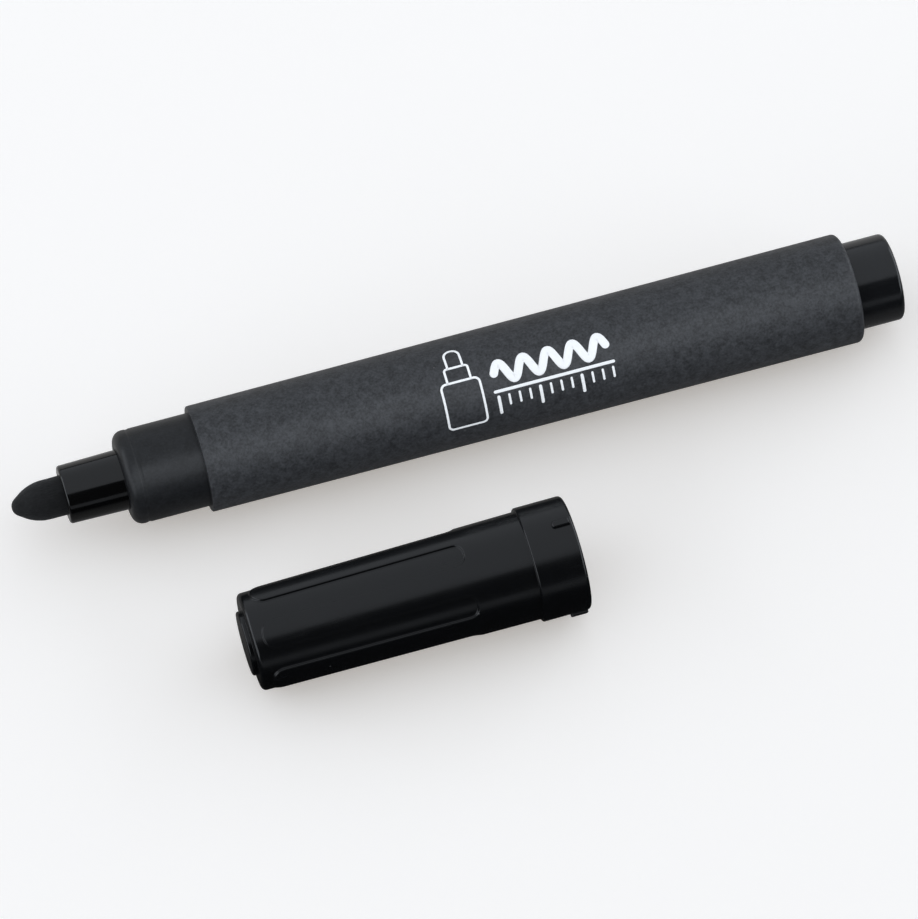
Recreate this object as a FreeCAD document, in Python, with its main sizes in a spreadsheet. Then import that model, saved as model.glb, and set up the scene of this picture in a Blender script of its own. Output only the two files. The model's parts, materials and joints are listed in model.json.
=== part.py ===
import FreeCAD, Part
import Sketcher
import math
import os
import re

# A felt tip marker that lies on a table with its cap off, beside it. Millimetres.
#
# The marker lies along X, with its nib towards -X. The cap lies on the -Y side of it, its
# closed end towards -X and its mouth towards +X, which is the way round that it goes on.
# Z = 0 is the table, and the origin is on it, under the middle of the box that holds both.
#
# Every piece is turned about a long axis. "Along" is the distance down that axis: from the
# tip of the nib on the marker's pieces, and from the closed end's face on the cap's pieces.
# "Out" is the distance from the axis.

DIMENSIONS = {
    # nib: a felt rod with a rounded point in front and a blunter one in the reservoir
    "nib_reach": (6.8, "felt in front of the nib holder"),
    "nib_length": (34.0, "whole rod, tip to tail"),
    "nib_radius": (2.6, "rod"),
    "nib_slope": (35.0, "degrees, flank of the point against the axis"),
    "nib_nose": (0.70, "radius at which the flank would meet the tip's plane"),
    "nib_nose_round": (1.25, "rounding of the tip"),
    "nib_flank_round": (5.7, "rounding where the flank runs into the rod"),
    "nib_tail_radius": (1.3, "flat end of the tail"),
    "nib_tail_taper": (2.6, "length of the tail's cone"),
    # nib holder: the glossy nozzle, with a flange that is pressed into the neck
    "nozzle_length": (7.8, "nozzle in front of the neck"),
    "nozzle_wall": (1.19, "round the nib at the front edge"),
    "nozzle_draft": (0.14, "that the nozzle grows in radius, front edge to neck"),
    "nozzle_edge_round": (0.35, "front edge"),
    "flange_length": (8.0, "pressed length behind the neck's front wall"),
    "flange_wall": (1.05, "wall round the cup behind the nib's bore"),
    "nib_bore_length": (13.0, "length of the bore that grips the nib"),
    "vent_width": (0.7, "air groove beside the nib"),
    "vent_depth": (0.35, "air groove beside the nib"),
    # barrel: one moulding with the neck that the cap is pushed on
    "neck_length": (10.2, "from the neck's front face to the barrel's front rim"),
    "neck_radius": (6.15, "seat of the cap"),
    "neck_round": (1.4, "shoulder at the front of the neck"),
    "neck_front_wall": (1.6, "wall that the nozzle comes through"),
    "neck_wall": (1.1, "side wall of the neck"),
    "groove_start": (1.75, "from the neck's front face to the shallow groove round it"),
    "groove_width": (0.6, "groove, over its lips"),
    "groove_depth": (0.07, "groove"),
    "groove_ramp": (0.22, "length of each sloping side of the groove"),
    "barrel_length": (87.6, "between the two rims"),
    "barrel_step": (0.85, "that the front rim stands out from the neck"),
    "barrel_draft": (0.25, "that the barrel grows in radius, front rim to rear rim"),
    "barrel_wall": (1.05, "wall at the front rim"),
    "barrel_front_round": (0.22, "front rim"),
    "barrel_rear_round": (0.65, "rear rim"),
    "bore_step": (1.4, "from the front rim to where the bore widens"),
    "rib_width": (0.8, "rib that holds the reservoir clear of the wall"),
    "rib_root": (0.26, "that a rib runs into the wall it stands on"),
    # reservoir: a fibre bundle in a film wrap
    "wrap_thickness": (0.15, "film round the bundle"),
    "reservoir_length": (77.5, "bundle and film"),
    # end plug: glossy, pressed into the rear of the barrel
    "stub_length": (6.0, "behind the rear rim"),
    "stub_step": (0.2, "that the stub is smaller in radius than the barrel's bore"),
    "stub_round": (0.6, "rear edge"),
    "plug_depth": (8.5, "pressed length inside the barrel"),
    "plug_sink": (0.1, "pressed part's shoulder, inside the rear rim"),
    "plug_wall": (1.3, "side wall"),
    "plug_end_wall": (1.4, "rear wall"),
    "plug_chamfer": (0.4, "lead-in at the inner end"),
    # cap shell: fluted, with a collar and three nubs at its mouth
    "cap_length": (43.2, "from the closed end's face to the mouth"),
    "boss_height": (0.65, "disc on the closed end"),
    "boss_radius": (4.2, "disc on the closed end"),
    "boss_round": (0.25, "edge of the disc"),
    "land_start": (1.4, "from the closed end to where the lands rise"),
    "cap_wall": (0.87, "body, where the collar begins"),
    "cap_draft": (0.35, "that the lands lose in radius, collar to closed end"),
    "cap_end_round": (0.6, "edge of the closed end"),
    "slot_depth": (0.34, "of each flute, below the lands"),
    "slot_reach": (28.7, "from the closed end to the rounded end of the flutes"),
    "slot_angle": (26.6, "degrees that each flute takes up"),
    "corner_share": (0.8, "share of half a flute's width that each corner of its end rounds"),
    "cap_roll": (82.5, "degrees about the axis, from +Y, to the first flute and nub"),
    "collar_length": (6.4, "at the mouth"),
    "collar_wall": (1.29, "round the mouth"),
    "collar_round": (0.25, "collar's inner edge"),
    "mouth_round": (0.5, "mouth's outside edge"),
    "mouth_lead": (0.3, "chamfer inside the mouth"),
    "nub_height": (0.46, "above the collar"),
    "nub_length": (2.8, "back from the mouth"),
    "nub_width": (0.95, "across"),
    "nub_corner": (0.38, "rounding of a nub's back corners"),
    "cap_end_wall": (1.2, "closed end"),
    "seat_step": (0.75, "that the liner's bore is smaller in radius than the mouth's"),
    "liner_stop": (0.55, "ledge that the liner is pressed against"),
    # cap liner: the inner cup that closes round the nozzle
    "liner_wall": (0.9, "side wall"),
    "liner_end_wall": (1.0, "floor of the cup"),
    "liner_lip": (1.6, "length of the sealing lip"),
    "tip_room": (2.2, "between the nib's tip and the liner's floor, cap on"),
    # fits
    "neck_clearance": (0.05, "cap's mouth over the neck, a push fit"),
    "lip_clearance": (0.04, "liner's lip over the nozzle's base"),
    "nib_clearance": (0.02, "nib in its bore and in the fibre"),
    "nozzle_clearance": (0.03, "nozzle in the neck's front wall"),
    "reservoir_clearance": (0.15, "reservoir in the neck's bore"),
    "stop_gap": (0.3, "cap on, between pieces that meet end to end"),
    # how the cap lies
    "cap_offset": (26.6, "from the marker's axis to the cap's"),
    "cap_station": (24.0, "from the nib's tip to the cap's closed end"),
}

RIBS = 6
VENTS = 3
FLUTES = 6
NUBS = 3
ROUND_LIMIT = 0.9  # share of a wall that a rounding may take up
SAME_PLACE = 0.001  # two stations nearer than this are one

# Places along the marker.
NECK_FRONT = "(nib_reach + nozzle_length)"
BARREL_FRONT = f"({NECK_FRONT} + neck_length)"
BARREL_REAR = f"({BARREL_FRONT} + barrel_length)"
STUB_END = f"({BARREL_REAR} + stub_length)"
FLANGE_FRONT = f"({NECK_FRONT} + neck_front_wall)"
FLANGE_REAR = f"({FLANGE_FRONT} + flange_length)"
BORE_FRONT = f"({BARREL_FRONT} + bore_step)"
CORE_FRONT = f"({FLANGE_REAR} + stop_gap)"
CORE_REAR = f"({CORE_FRONT} + reservoir_length)"
PLUG_FRONT = f"({BARREL_REAR} - plug_depth)"

# Radii of the marker's pieces, from the nib and the neck outwards.
NIB_BORE = "(nib_radius + nib_clearance)"
NOZZLE_TIP_RADIUS = f"({NIB_BORE} + nozzle_wall)"
NOZZLE_BASE_RADIUS = f"({NOZZLE_TIP_RADIUS} + nozzle_draft)"
NOZZLE_HOLE = f"({NOZZLE_BASE_RADIUS} + nozzle_clearance)"
NECK_BORE = "(neck_radius - neck_wall)"
FRONT_RADIUS = "(neck_radius + barrel_step)"
REAR_RADIUS = f"({FRONT_RADIUS} + barrel_draft)"
BARREL_BORE = f"({FRONT_RADIUS} - barrel_wall)"
STUB_RADIUS = f"({BARREL_BORE} - stub_step)"
WRAP_RADIUS = f"({NECK_BORE} - reservoir_clearance)"
CORE_RADIUS = f"({WRAP_RADIUS} - wrap_thickness)"

# Radii of the cap's pieces, from the neck that the cap fits.
MOUTH_BORE = "(neck_radius + neck_clearance)"
COLLAR_RADIUS = f"({MOUTH_BORE} + collar_wall)"
LAND_MOUTH_RADIUS = f"({MOUTH_BORE} + cap_wall)"
LAND_END_RADIUS = f"({LAND_MOUTH_RADIUS} - cap_draft)"
LINER_RADIUS = f"({MOUTH_BORE} - seat_step)"
CAP_BACK_RADIUS = f"({LINER_RADIUS} - liner_stop)"

# Places along the cap, from its closed end. With the cap on, the mouth meets the barrel's
# front rim, so the marker's stations run back from cap_length.
COLLAR_START = "(cap_length - collar_length)"
SEAT_END = "(cap_length - neck_length - stop_gap)"
LINER_FRONT = f"({SEAT_END} - stop_gap)"
NIB_TIP_IN_CAP = f"(cap_length - {BARREL_FRONT})"
LINER_FLOOR = f"({NIB_TIP_IN_CAP} - tip_room)"
LINER_BACK = f"({LINER_FLOOR} - liner_end_wall)"
LAND_TAPER = f"(cap_draft / ({COLLAR_START} - land_start))"


def floor_radius(along):
    """Radius of the flutes' floor, a cone that keeps slot_depth below the lands."""
    return f"({LAND_END_RADIUS} - slot_depth + ({along} - land_start) * {LAND_TAPER})"


# The cap rests on the rim of its collar and on its lands' far ends, so its axis falls
# towards the closed end.
CAP_TILT = f"atan(({COLLAR_RADIUS} - {LAND_END_RADIUS}) / ({COLLAR_START} - land_start))"
COLLAR_HEIGHT = f"({COLLAR_RADIUS} * cos({CAP_TILT}))"

# Where the two axes are, from the origin.
MARKER_X = f"(0 - {STUB_END} / 2)"
MARKER_Y = f"((cap_offset + {COLLAR_RADIUS} - {REAR_RADIUS}) / 2)"
MARKER_Z = REAR_RADIUS
CAP_X = f"({MARKER_X} + cap_station)"
CAP_Y = f"({MARKER_Y} - cap_offset)"
CAP_Z = f"({COLLAR_HEIGHT} - {COLLAR_START} * sin({CAP_TILT}))"


doc = FreeCAD.newDocument("felt_tip_marker")
sheet = doc.addObject("Spreadsheet::Sheet", "Sizes")


def fill_sheet():
    """Write each dimension in a row: its name, its value and what it measures."""
    for row, (name, (value, meaning)) in enumerate(DIMENSIONS.items(), start=1):
        sheet.set(f"A{row}", name)
        sheet.set(f"B{row}", str(value))
        sheet.set(f"C{row}", meaning)
        sheet.setAlias(f"B{row}", name)
    doc.recompute()


def formula(text):
    """A formula in dimension names, as an expression that reads the sheet."""
    return re.sub(r"\b([a-z]+(?:_[a-z]+)+)\b", r"Sizes.\1", text)


def number(text):
    """What a formula comes to now."""
    value = sheet.evalExpression(formula(text))
    return float(getattr(value, "Value", value))


def origin_feature(body, role):
    """One of the body's own planes or axes."""
    return next(f for f in body.Origin.OriginFeatures if f.Role == role)


def new_body(name):
    """An empty body that is labelled with its node's name."""
    body = doc.addObject("PartDesign::Body", name)
    body.Label = name
    return body


def new_sketch(body, name, turn=None, lift=None):
    """A sketch on the body's XY plane, turned about X and lifted off it by formulas."""
    sketch = body.newObject("Sketcher::SketchObject", name)
    sketch.AttachmentSupport = [(origin_feature(body, "XY_Plane"), "")]
    sketch.MapMode = "FlatFace"
    if turn:
        about_x = FreeCAD.Rotation(FreeCAD.Vector(1, 0, 0), number(turn))
        sketch.AttachmentOffset = FreeCAD.Placement(FreeCAD.Vector(), about_x)
        sketch.setExpression("AttachmentOffset.Rotation.Angle", formula(turn))
    if lift:
        sketch.setExpression("AttachmentOffset.Base.y", formula(f"0 - ({lift}) * sin({turn})"))
        sketch.setExpression("AttachmentOffset.Base.z", formula(f"({lift}) * cos({turn})"))
    return sketch


def pin_point(sketch, item, end, along, out):
    """Hold one point of the sketch at a distance along and out, each a formula."""
    for kind, text in (("DistanceX", along), ("DistanceY", out)):
        rule = Sketcher.Constraint(kind, -1, 1, item, end, number(text))
        index = sketch.addConstraint(rule)
        sketch.setExpression(f"Constraints[{index}]", formula(text))


def rounded_corner(before, corner, after, radius):
    """The two tangent points and the centre of an arc that rounds a corner."""
    to_before = (before - corner).normalize()
    to_after = (after - corner).normalize()
    half = to_before.getAngle(to_after) / 2
    reach = radius / math.tan(half)
    middle = (to_before + to_after).normalize()
    centre = corner + middle * (radius / math.sin(half))
    return corner + to_before * reach, corner + to_after * reach, centre


def draw_outline(sketch, corners):
    """Draw a closed outline through corners of (along, out) or (along, out, rounding)."""
    spots = [FreeCAD.Vector(number(c[0]), number(c[1]), 0) for c in corners]
    count = len(corners)
    arrive, leave, centre = list(spots), list(spots), {}
    for i, corner in enumerate(corners):
        if len(corner) == 3:
            arc = rounded_corner(spots[i - 1], spots[i], spots[(i + 1) % count], number(corner[2]))
            arrive[i], leave[i], centre[i] = arc
    lines = []
    for i in range(count):
        edge = Part.LineSegment(leave[i], arrive[(i + 1) % count])
        lines.append(sketch.addGeometry(edge))
    for i, corner in enumerate(corners):
        line_in, line_out = lines[i - 1], lines[i]
        if i not in centre:
            sketch.addConstraint(Sketcher.Constraint("Coincident", line_in, 2, line_out, 1))
            pin_point(sketch, line_out, 1, corner[0], corner[1])
            continue
        spoke_in = arrive[i] - centre[i]
        spoke_out = leave[i] - centre[i]
        anticlockwise = spoke_in.cross(spoke_out).z > 0
        first, last = (spoke_in, spoke_out) if anticlockwise else (spoke_out, spoke_in)
        circle = Part.Circle(centre[i], FreeCAD.Vector(0, 0, 1), spoke_in.Length)
        start = math.atan2(first.y, first.x)
        finish = math.atan2(last.y, last.x)
        arc = sketch.addGeometry(Part.ArcOfCircle(circle, start, finish))
        end_in, end_out = (1, 2) if anticlockwise else (2, 1)
        sketch.addConstraint(Sketcher.Constraint("Tangent", line_in, 2, arc, end_in))
        sketch.addConstraint(Sketcher.Constraint("Tangent", line_out, 1, arc, end_out))
        radius = sketch.addConstraint(Sketcher.Constraint("Radius", arc, spoke_in.Length))
        sketch.setExpression(f"Constraints[{radius}]", formula(corner[2]))
        point = sketch.addGeometry(Part.Point(spots[i]), True)
        sketch.addConstraint(Sketcher.Constraint("PointOnObject", point, 1, line_in))
        sketch.addConstraint(Sketcher.Constraint("PointOnObject", point, 1, line_out))
        pin_point(sketch, point, 1, corner[0], corner[1])
    doc.recompute()


def turn_profile(body, corners):
    """Revolve an outline a full turn about the body's X axis."""
    sketch = new_sketch(body, f"{body.Name}_profile")
    draw_outline(sketch, corners)
    turned = body.newObject("PartDesign::Revolution", f"{body.Name}_turned")
    turned.Profile = sketch
    turned.ReferenceAxis = (sketch, ["H_Axis"])
    turned.Angle = 360
    doc.recompute()
    return turned


def repeat_round(body, feature, count):
    """Repeat a feature evenly round the body's X axis."""
    pattern = body.newObject("PartDesign::PolarPattern", f"{feature.Name}_round")
    pattern.Originals = [feature]
    pattern.Axis = (origin_feature(body, "X_Axis"), [""])
    pattern.Angle = 360
    pattern.Occurrences = count
    body.Tip = pattern
    doc.recompute()
    return pattern


def slab(body, kind, name, corners, thickness):
    """Pad or pocket an outline by the same amount to both sides of the body's XY plane."""
    sketch = new_sketch(body, f"{name}_outline")
    draw_outline(sketch, corners)
    feature = body.newObject(kind, name)
    feature.Profile = sketch
    if hasattr(feature, "SideType"):
        feature.SideType = "Symmetric"
    else:
        feature.Midplane = True
    feature.setExpression("Length", formula(thickness))
    doc.recompute()
    return feature


def lay_down(body, along, across, height, fall=None):
    """Put a body's axis where its assembly lies, with its front end lowered if it falls."""
    if fall:
        about_y = FreeCAD.Rotation(FreeCAD.Vector(0, -1, 0), number(fall))
        body.Placement = FreeCAD.Placement(FreeCAD.Vector(), about_y)
        body.setExpression("Placement.Rotation.Angle", formula(fall))
    for letter, text in (("x", along), ("y", across), ("z", height)):
        body.setExpression(f"Placement.Base.{letter}", formula(text))


def make_nib():
    """Felt rod: a bullet point in front, and a blunt cone on the tail."""
    body = new_body("nib")
    flank_end = "((nib_radius - nib_nose) / tan(nib_slope))"
    turn_profile(body, [
        ("0", "0"),
        ("0", "nib_nose", "nib_nose_round"),
        (flank_end, "nib_radius", "nib_flank_round"),
        ("nib_length - nib_tail_taper", "nib_radius"),
        ("nib_length", "nib_tail_radius"),
        ("nib_length", "0"),
    ])
    return body


def make_nib_holder():
    """Nozzle and flange in one, with a bore for the nib and air grooves along the bore."""
    body = new_body("nib_holder")
    cup_floor = "(nib_reach + nib_bore_length)"
    turn_profile(body, [
        ("nib_reach", NIB_BORE),
        ("nib_reach", NOZZLE_TIP_RADIUS, "nozzle_edge_round"),
        (NECK_FRONT, NOZZLE_BASE_RADIUS),
        (FLANGE_FRONT, NOZZLE_BASE_RADIUS),
        (FLANGE_FRONT, NECK_BORE),
        (FLANGE_REAR, NECK_BORE),
        (FLANGE_REAR, f"{NECK_BORE} - flange_wall"),
        (cup_floor, f"{NECK_BORE} - flange_wall"),
        (cup_floor, NIB_BORE),
    ])
    vent = slab(body, "PartDesign::Pocket", "vent", [
        ("nib_reach - vent_depth", f"{NIB_BORE} - vent_depth"),
        (f"{cup_floor} + vent_depth", f"{NIB_BORE} - vent_depth"),
        (f"{cup_floor} + vent_depth", f"{NIB_BORE} + vent_depth"),
        ("nib_reach - vent_depth", f"{NIB_BORE} + vent_depth"),
    ], "vent_width")
    repeat_round(body, vent, VENTS)
    return body


def make_barrel():
    """Tapered tube and neck in one moulding, with ribs inside that hold the reservoir."""
    body = new_body("barrel")
    groove = f"({NECK_FRONT} + groove_start)"
    groove_floor = "neck_radius - groove_depth"
    front_wall = f"(neck_radius - {NOZZLE_HOLE})"
    turn_profile(body, [
        (NECK_FRONT, NOZZLE_HOLE),
        (NECK_FRONT, "neck_radius", f"min(neck_round; {front_wall} * {ROUND_LIMIT})"),
        (groove, "neck_radius"),
        (f"{groove} + groove_ramp", groove_floor),
        (f"{groove} + groove_width - groove_ramp", groove_floor),
        (f"{groove} + groove_width", "neck_radius"),
        (BARREL_FRONT, "neck_radius"),
        (BARREL_FRONT, FRONT_RADIUS, "barrel_front_round"),
        (BARREL_REAR, REAR_RADIUS, "barrel_rear_round"),
        (BARREL_REAR, BARREL_BORE),
        (BORE_FRONT, BARREL_BORE),
        (BORE_FRONT, NECK_BORE),
        (FLANGE_FRONT, NECK_BORE),
        (FLANGE_FRONT, NOZZLE_HOLE),
    ])
    foot = f"{BARREL_BORE} + rib_root"
    rib = slab(body, "PartDesign::Pad", "rib", [
        (BORE_FRONT, WRAP_RADIUS),
        (f"{PLUG_FRONT} - stop_gap", WRAP_RADIUS),
        (f"{PLUG_FRONT} - stop_gap", foot),
        (BORE_FRONT, foot),
    ], "rib_width")
    repeat_round(body, rib, RIBS)
    return body


def make_reservoir_core():
    """Fibre bundle with the hole that the nib's tail is pushed into."""
    body = new_body("reservoir_core")
    hole_end = "(nib_length + stop_gap)"
    turn_profile(body, [
        (CORE_FRONT, NIB_BORE),
        (CORE_FRONT, CORE_RADIUS),
        (CORE_REAR, CORE_RADIUS),
        (CORE_REAR, "0"),
        (hole_end, "0"),
        (hole_end, NIB_BORE),
    ])
    return body


def make_reservoir_wrap():
    """Film round the fibre bundle."""
    body = new_body("reservoir_wrap")
    turn_profile(body, [
        (CORE_FRONT, CORE_RADIUS),
        (CORE_FRONT, WRAP_RADIUS),
        (CORE_REAR, WRAP_RADIUS),
        (CORE_REAR, CORE_RADIUS),
    ])
    return body


def make_end_plug():
    """Hollow plug that closes the barrel and shows as a stub behind it."""
    body = new_body("end_plug")
    shoulder = f"({BARREL_REAR} - plug_sink)"
    floor = f"({STUB_END} - plug_end_wall)"
    turn_profile(body, [
        (PLUG_FRONT, f"{BARREL_BORE} - plug_wall"),
        (PLUG_FRONT, f"{BARREL_BORE} - plug_chamfer"),
        (f"{PLUG_FRONT} + plug_chamfer", BARREL_BORE),
        (shoulder, BARREL_BORE),
        (shoulder, STUB_RADIUS),
        (STUB_END, STUB_RADIUS, "stub_round"),
        (STUB_END, "0"),
        (floor, "0"),
        (floor, f"{BARREL_BORE} - plug_wall"),
    ])
    return body


def radial_edges(shape, along):
    """Names of the straight edges that stand out from the axis at one place along it."""
    names = []
    for index, edge in enumerate(shape.Edges, start=1):
        ends = [vertex.Point for vertex in edge.Vertexes]
        straight = len(ends) == 2 and edge.Curve.TypeId == "Part::GeomLine"
        if straight and max(abs(end.x - along) for end in ends) < SAME_PLACE:
            names.append(f"Edge{index}")
    return names


def make_cap_shell():
    """Closed fluted sleeve with a disc on its end, a collar at its mouth and three nubs."""
    body = new_body("cap_shell")
    turn_profile(body, [
        ("0 - boss_height", "0"),
        ("0 - boss_height", "boss_radius", "boss_round"),
        ("0", "boss_radius"),
        ("0", floor_radius("0"), "cap_end_round"),
        ("land_start", floor_radius("land_start")),
        ("land_start", LAND_END_RADIUS),
        (COLLAR_START, LAND_MOUTH_RADIUS),
        (COLLAR_START, COLLAR_RADIUS, "collar_round"),
        ("cap_length", COLLAR_RADIUS, "mouth_round"),
        ("cap_length", f"{MOUTH_BORE} + mouth_lead"),
        ("cap_length - mouth_lead", MOUTH_BORE),
        (SEAT_END, MOUTH_BORE),
        (SEAT_END, LINER_RADIUS),
        (LINER_BACK, LINER_RADIUS),
        (LINER_BACK, CAP_BACK_RADIUS),
        ("cap_end_wall", CAP_BACK_RADIUS),
        ("cap_end_wall", "0"),
    ])

    # The flutes: a sector of ring cut out between the floor's cone and the outside.
    cut_top = f"({COLLAR_RADIUS} + nub_height)"
    sketch = new_sketch(body, "flute_outline", turn="cap_roll")
    draw_outline(sketch, [
        ("0 - boss_height", floor_radius("0 - boss_height")),
        ("slot_reach", floor_radius("slot_reach")),
        ("slot_reach", cut_top),
        ("0 - boss_height", cut_top),
    ])
    flute = body.newObject("PartDesign::Groove", "flute")
    flute.Profile = sketch
    flute.ReferenceAxis = (sketch, ["H_Axis"])
    flute.setExpression("Angle", formula("slot_angle"))
    flute.Midplane = True
    doc.recompute()
    flutes = repeat_round(body, flute, FLUTES)

    # The flutes' closed ends, rounded as seen from outside.
    corners = body.newObject("PartDesign::Fillet", "flute_corners")
    corners.Base = (flutes, radial_edges(flutes.Shape, number("slot_reach")))
    half_width = f"({floor_radius('slot_reach')} * slot_angle / 2 * {math.radians(1)})"
    corners.setExpression("Radius", formula(f"{half_width} * corner_share"))
    body.Tip = corners
    doc.recompute()

    # The nubs: flat-topped keys on the collar, in line with every other flute. Each starts as
    # far inside the collar's surface as it stands out of it.
    sketch = new_sketch(body, "nub_outline", turn="(cap_roll - 90)", lift=f"({COLLAR_RADIUS} - nub_height)")
    nub_back = "cap_length - nub_length"
    front = "cap_length - mouth_round"
    draw_outline(sketch, [
        (nub_back, "nub_width / 2", "nub_corner"),
        (nub_back, "0 - nub_width / 2", "nub_corner"),
        (front, "0 - nub_width / 2"),
        (front, "nub_width / 2"),
    ])
    nub = body.newObject("PartDesign::Pad", "nub")
    nub.Profile = sketch
    nub.setExpression("Length", formula("nub_height * 2"))
    doc.recompute()
    repeat_round(body, nub, NUBS)
    return body


def make_cap_liner():
    """Inner cup whose lip closes round the nozzle, so that the nib stays moist."""
    body = new_body("cap_liner")
    lip = f"({NOZZLE_BASE_RADIUS} + lip_clearance)"
    lip_back = f"{LINER_FRONT} - liner_lip"
    wall = f"({LINER_RADIUS} - liner_wall)"
    turn_profile(body, [
        (LINER_BACK, "0"),
        (LINER_BACK, LINER_RADIUS),
        (LINER_FRONT, LINER_RADIUS),
        (LINER_FRONT, lip),
        (lip_back, lip),
        (f"{lip_back} - ({wall} - {lip})", wall),
        (LINER_FLOOR, wall),
        (LINER_FLOOR, "0"),
    ])
    return body


def check_document(bodies):
    """Stop before anything is written if an object failed or a shape isn't one good solid."""
    for item in doc.Objects:
        if "Invalid" in item.State or "Error" in item.State:
            raise RuntimeError(f"{item.Name} did not recompute: {item.State}")
    for body in bodies:
        shape = body.Shape
        if shape.isNull() or not shape.isValid() or len(shape.Solids) != 1:
            raise RuntimeError(f"{body.Label} is not one valid solid")


def main():
    fill_sheet()
    marker = [
        make_barrel(),
        make_nib_holder(),
        make_nib(),
        make_reservoir_core(),
        make_reservoir_wrap(),
        make_end_plug(),
    ]
    cap = [make_cap_shell(), make_cap_liner()]
    for body in marker:
        lay_down(body, MARKER_X, MARKER_Y, MARKER_Z)
    for body in cap:
        lay_down(body, CAP_X, CAP_Y, CAP_Z, fall=CAP_TILT)
    doc.recompute()
    check_document(marker + cap)
    os.makedirs("parts", exist_ok=True)
    for body in marker + cap:
        body.Shape.exportStep(f"parts/{body.Label}.step")
        box = body.Shape.BoundBox
        print(f"{body.Label}: {body.Shape.Volume:.1f} mm3, x {box.XMin:.2f} to {box.XMax:.2f},"
              f" y {box.YMin:.2f} to {box.YMax:.2f}, z {box.ZMin:.2f} to {box.ZMax:.2f}")


main()
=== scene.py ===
"""Looks of a felt tip marker that lies beside its cap.

The packed solids are the fixed frame. Every visible moulding is a new closed surface that is
worked out on a grid of two parameters, one along its axis and one round it, and the reservoir
inside keeps its solids and gets a finish. Lengths are in metres.
"""
import collections
import json
import math

import bmesh
import bpy
import numpy as np
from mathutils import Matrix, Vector


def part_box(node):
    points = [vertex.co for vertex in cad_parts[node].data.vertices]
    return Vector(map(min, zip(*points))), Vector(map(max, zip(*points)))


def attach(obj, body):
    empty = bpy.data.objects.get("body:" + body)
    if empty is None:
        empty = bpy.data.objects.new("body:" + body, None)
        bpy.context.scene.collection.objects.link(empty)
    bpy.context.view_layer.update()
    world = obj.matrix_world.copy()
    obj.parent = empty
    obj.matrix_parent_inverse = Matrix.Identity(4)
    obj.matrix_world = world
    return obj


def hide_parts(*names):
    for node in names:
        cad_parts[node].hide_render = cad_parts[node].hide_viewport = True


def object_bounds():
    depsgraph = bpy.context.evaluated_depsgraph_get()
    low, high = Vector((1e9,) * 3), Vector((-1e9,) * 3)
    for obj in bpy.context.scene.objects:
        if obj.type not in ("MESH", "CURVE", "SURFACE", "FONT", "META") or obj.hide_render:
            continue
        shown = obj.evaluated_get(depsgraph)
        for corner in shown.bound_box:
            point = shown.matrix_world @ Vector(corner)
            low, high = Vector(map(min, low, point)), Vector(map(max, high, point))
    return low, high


bl_info = {
    "name": "Felt tip marker",
    "version": (1, 0, 0),
    "blender": (4, 5, 0),
    "location": "View3D > Sidebar > Marker",
    "description": "Builds the mouldings, felt, print and studio of a felt tip marker",
    "category": "Add Mesh",
}

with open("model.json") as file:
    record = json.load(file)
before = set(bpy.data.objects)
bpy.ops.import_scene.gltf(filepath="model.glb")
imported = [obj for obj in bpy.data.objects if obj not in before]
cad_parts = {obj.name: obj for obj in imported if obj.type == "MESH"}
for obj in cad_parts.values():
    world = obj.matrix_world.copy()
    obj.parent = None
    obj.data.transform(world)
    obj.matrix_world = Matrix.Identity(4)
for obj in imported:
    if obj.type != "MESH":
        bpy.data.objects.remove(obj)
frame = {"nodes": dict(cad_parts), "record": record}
CAD_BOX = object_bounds()

MM = 0.001
TURN = 2 * math.pi
SEED = 7


# ---------------------------------------------------------------------------------------
# Where the frame puts things
# ---------------------------------------------------------------------------------------

# A long axis: a point on it where "along" is zero, its direction, and two directions across
# it. Angles round the axis run from side towards up.
Axis = collections.namedtuple("Axis", "start along side up")


def node_points(node):
    """Every vertex of a packed solid, as rows of x, y and z."""
    mesh = frame["nodes"][node].data
    points = np.empty(len(mesh.vertices) * 3, np.float32)
    mesh.vertices.foreach_get("co", points)
    return points.reshape(-1, 3).astype(float)


def reach(node, axis):
    """How far a packed solid reaches along an axis, and out from it: (first, last, out)."""
    offset = node_points(node) - axis.start
    along = offset @ axis.along
    out = np.linalg.norm(offset - along[:, None] * axis.along, axis=1)
    return along.min(), along.max(), out.max()


def marker_axis():
    """The marker's axis, from the tip of its nib towards its end plug."""
    low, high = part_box("nib")
    start = np.array([low.x, (low.y + high.y) / 2, (low.z + high.z) / 2])
    return Axis(start, np.array([1.0, 0, 0]), np.array([0, 1.0, 0]), np.array([0, 0, 1.0]))


def cap_axis(length):
    """The cap's axis, from the face of its closed end towards its mouth."""
    mount = MOUNTS["cap_mouth"]
    along = np.array(mount["axis"], float)
    along /= np.linalg.norm(along)
    side = np.array([0, 1.0, 0])
    up = np.cross(along, side)
    centre = np.array(mount["pos_m"], float)
    mouth = ((node_points("cap_shell") - centre) @ along).max()
    return Axis(centre + along * (mouth - length), along, side, up)


MOUNTS = {mount["name"]: mount for mount in frame["record"]["mounts"]}
MARKER = marker_axis()
NIB_START, NIB_END, NIB_RADIUS = reach("nib", MARKER)
NOZZLE_START, FLANGE_END, FLANGE_RADIUS = reach("nib_holder", MARKER)
NECK_START, BARREL_END, BARREL_RADIUS = reach("barrel", MARKER)
PLUG_START, STUB_END, PLUG_RADIUS = reach("end_plug", MARKER)
NECK_RADIUS = MOUNTS["cap_seat"]["dims"]["r_mm"] * MM
STUB_RADIUS = MOUNTS["rear_stub"]["dims"]["r_mm"] * MM
MOUTH_RADIUS = MOUNTS["cap_mouth"]["dims"]["r_mm"] * MM


# ---------------------------------------------------------------------------------------
# Sizes and colours that a user would change
# ---------------------------------------------------------------------------------------

def length(label, meaning, millimetres):
    """A length property whose default is given in millimetres."""
    return bpy.props.FloatProperty(
        name=label, description=meaning, default=millimetres * MM,
        unit="LENGTH", subtype="DISTANCE", precision=5)


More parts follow.
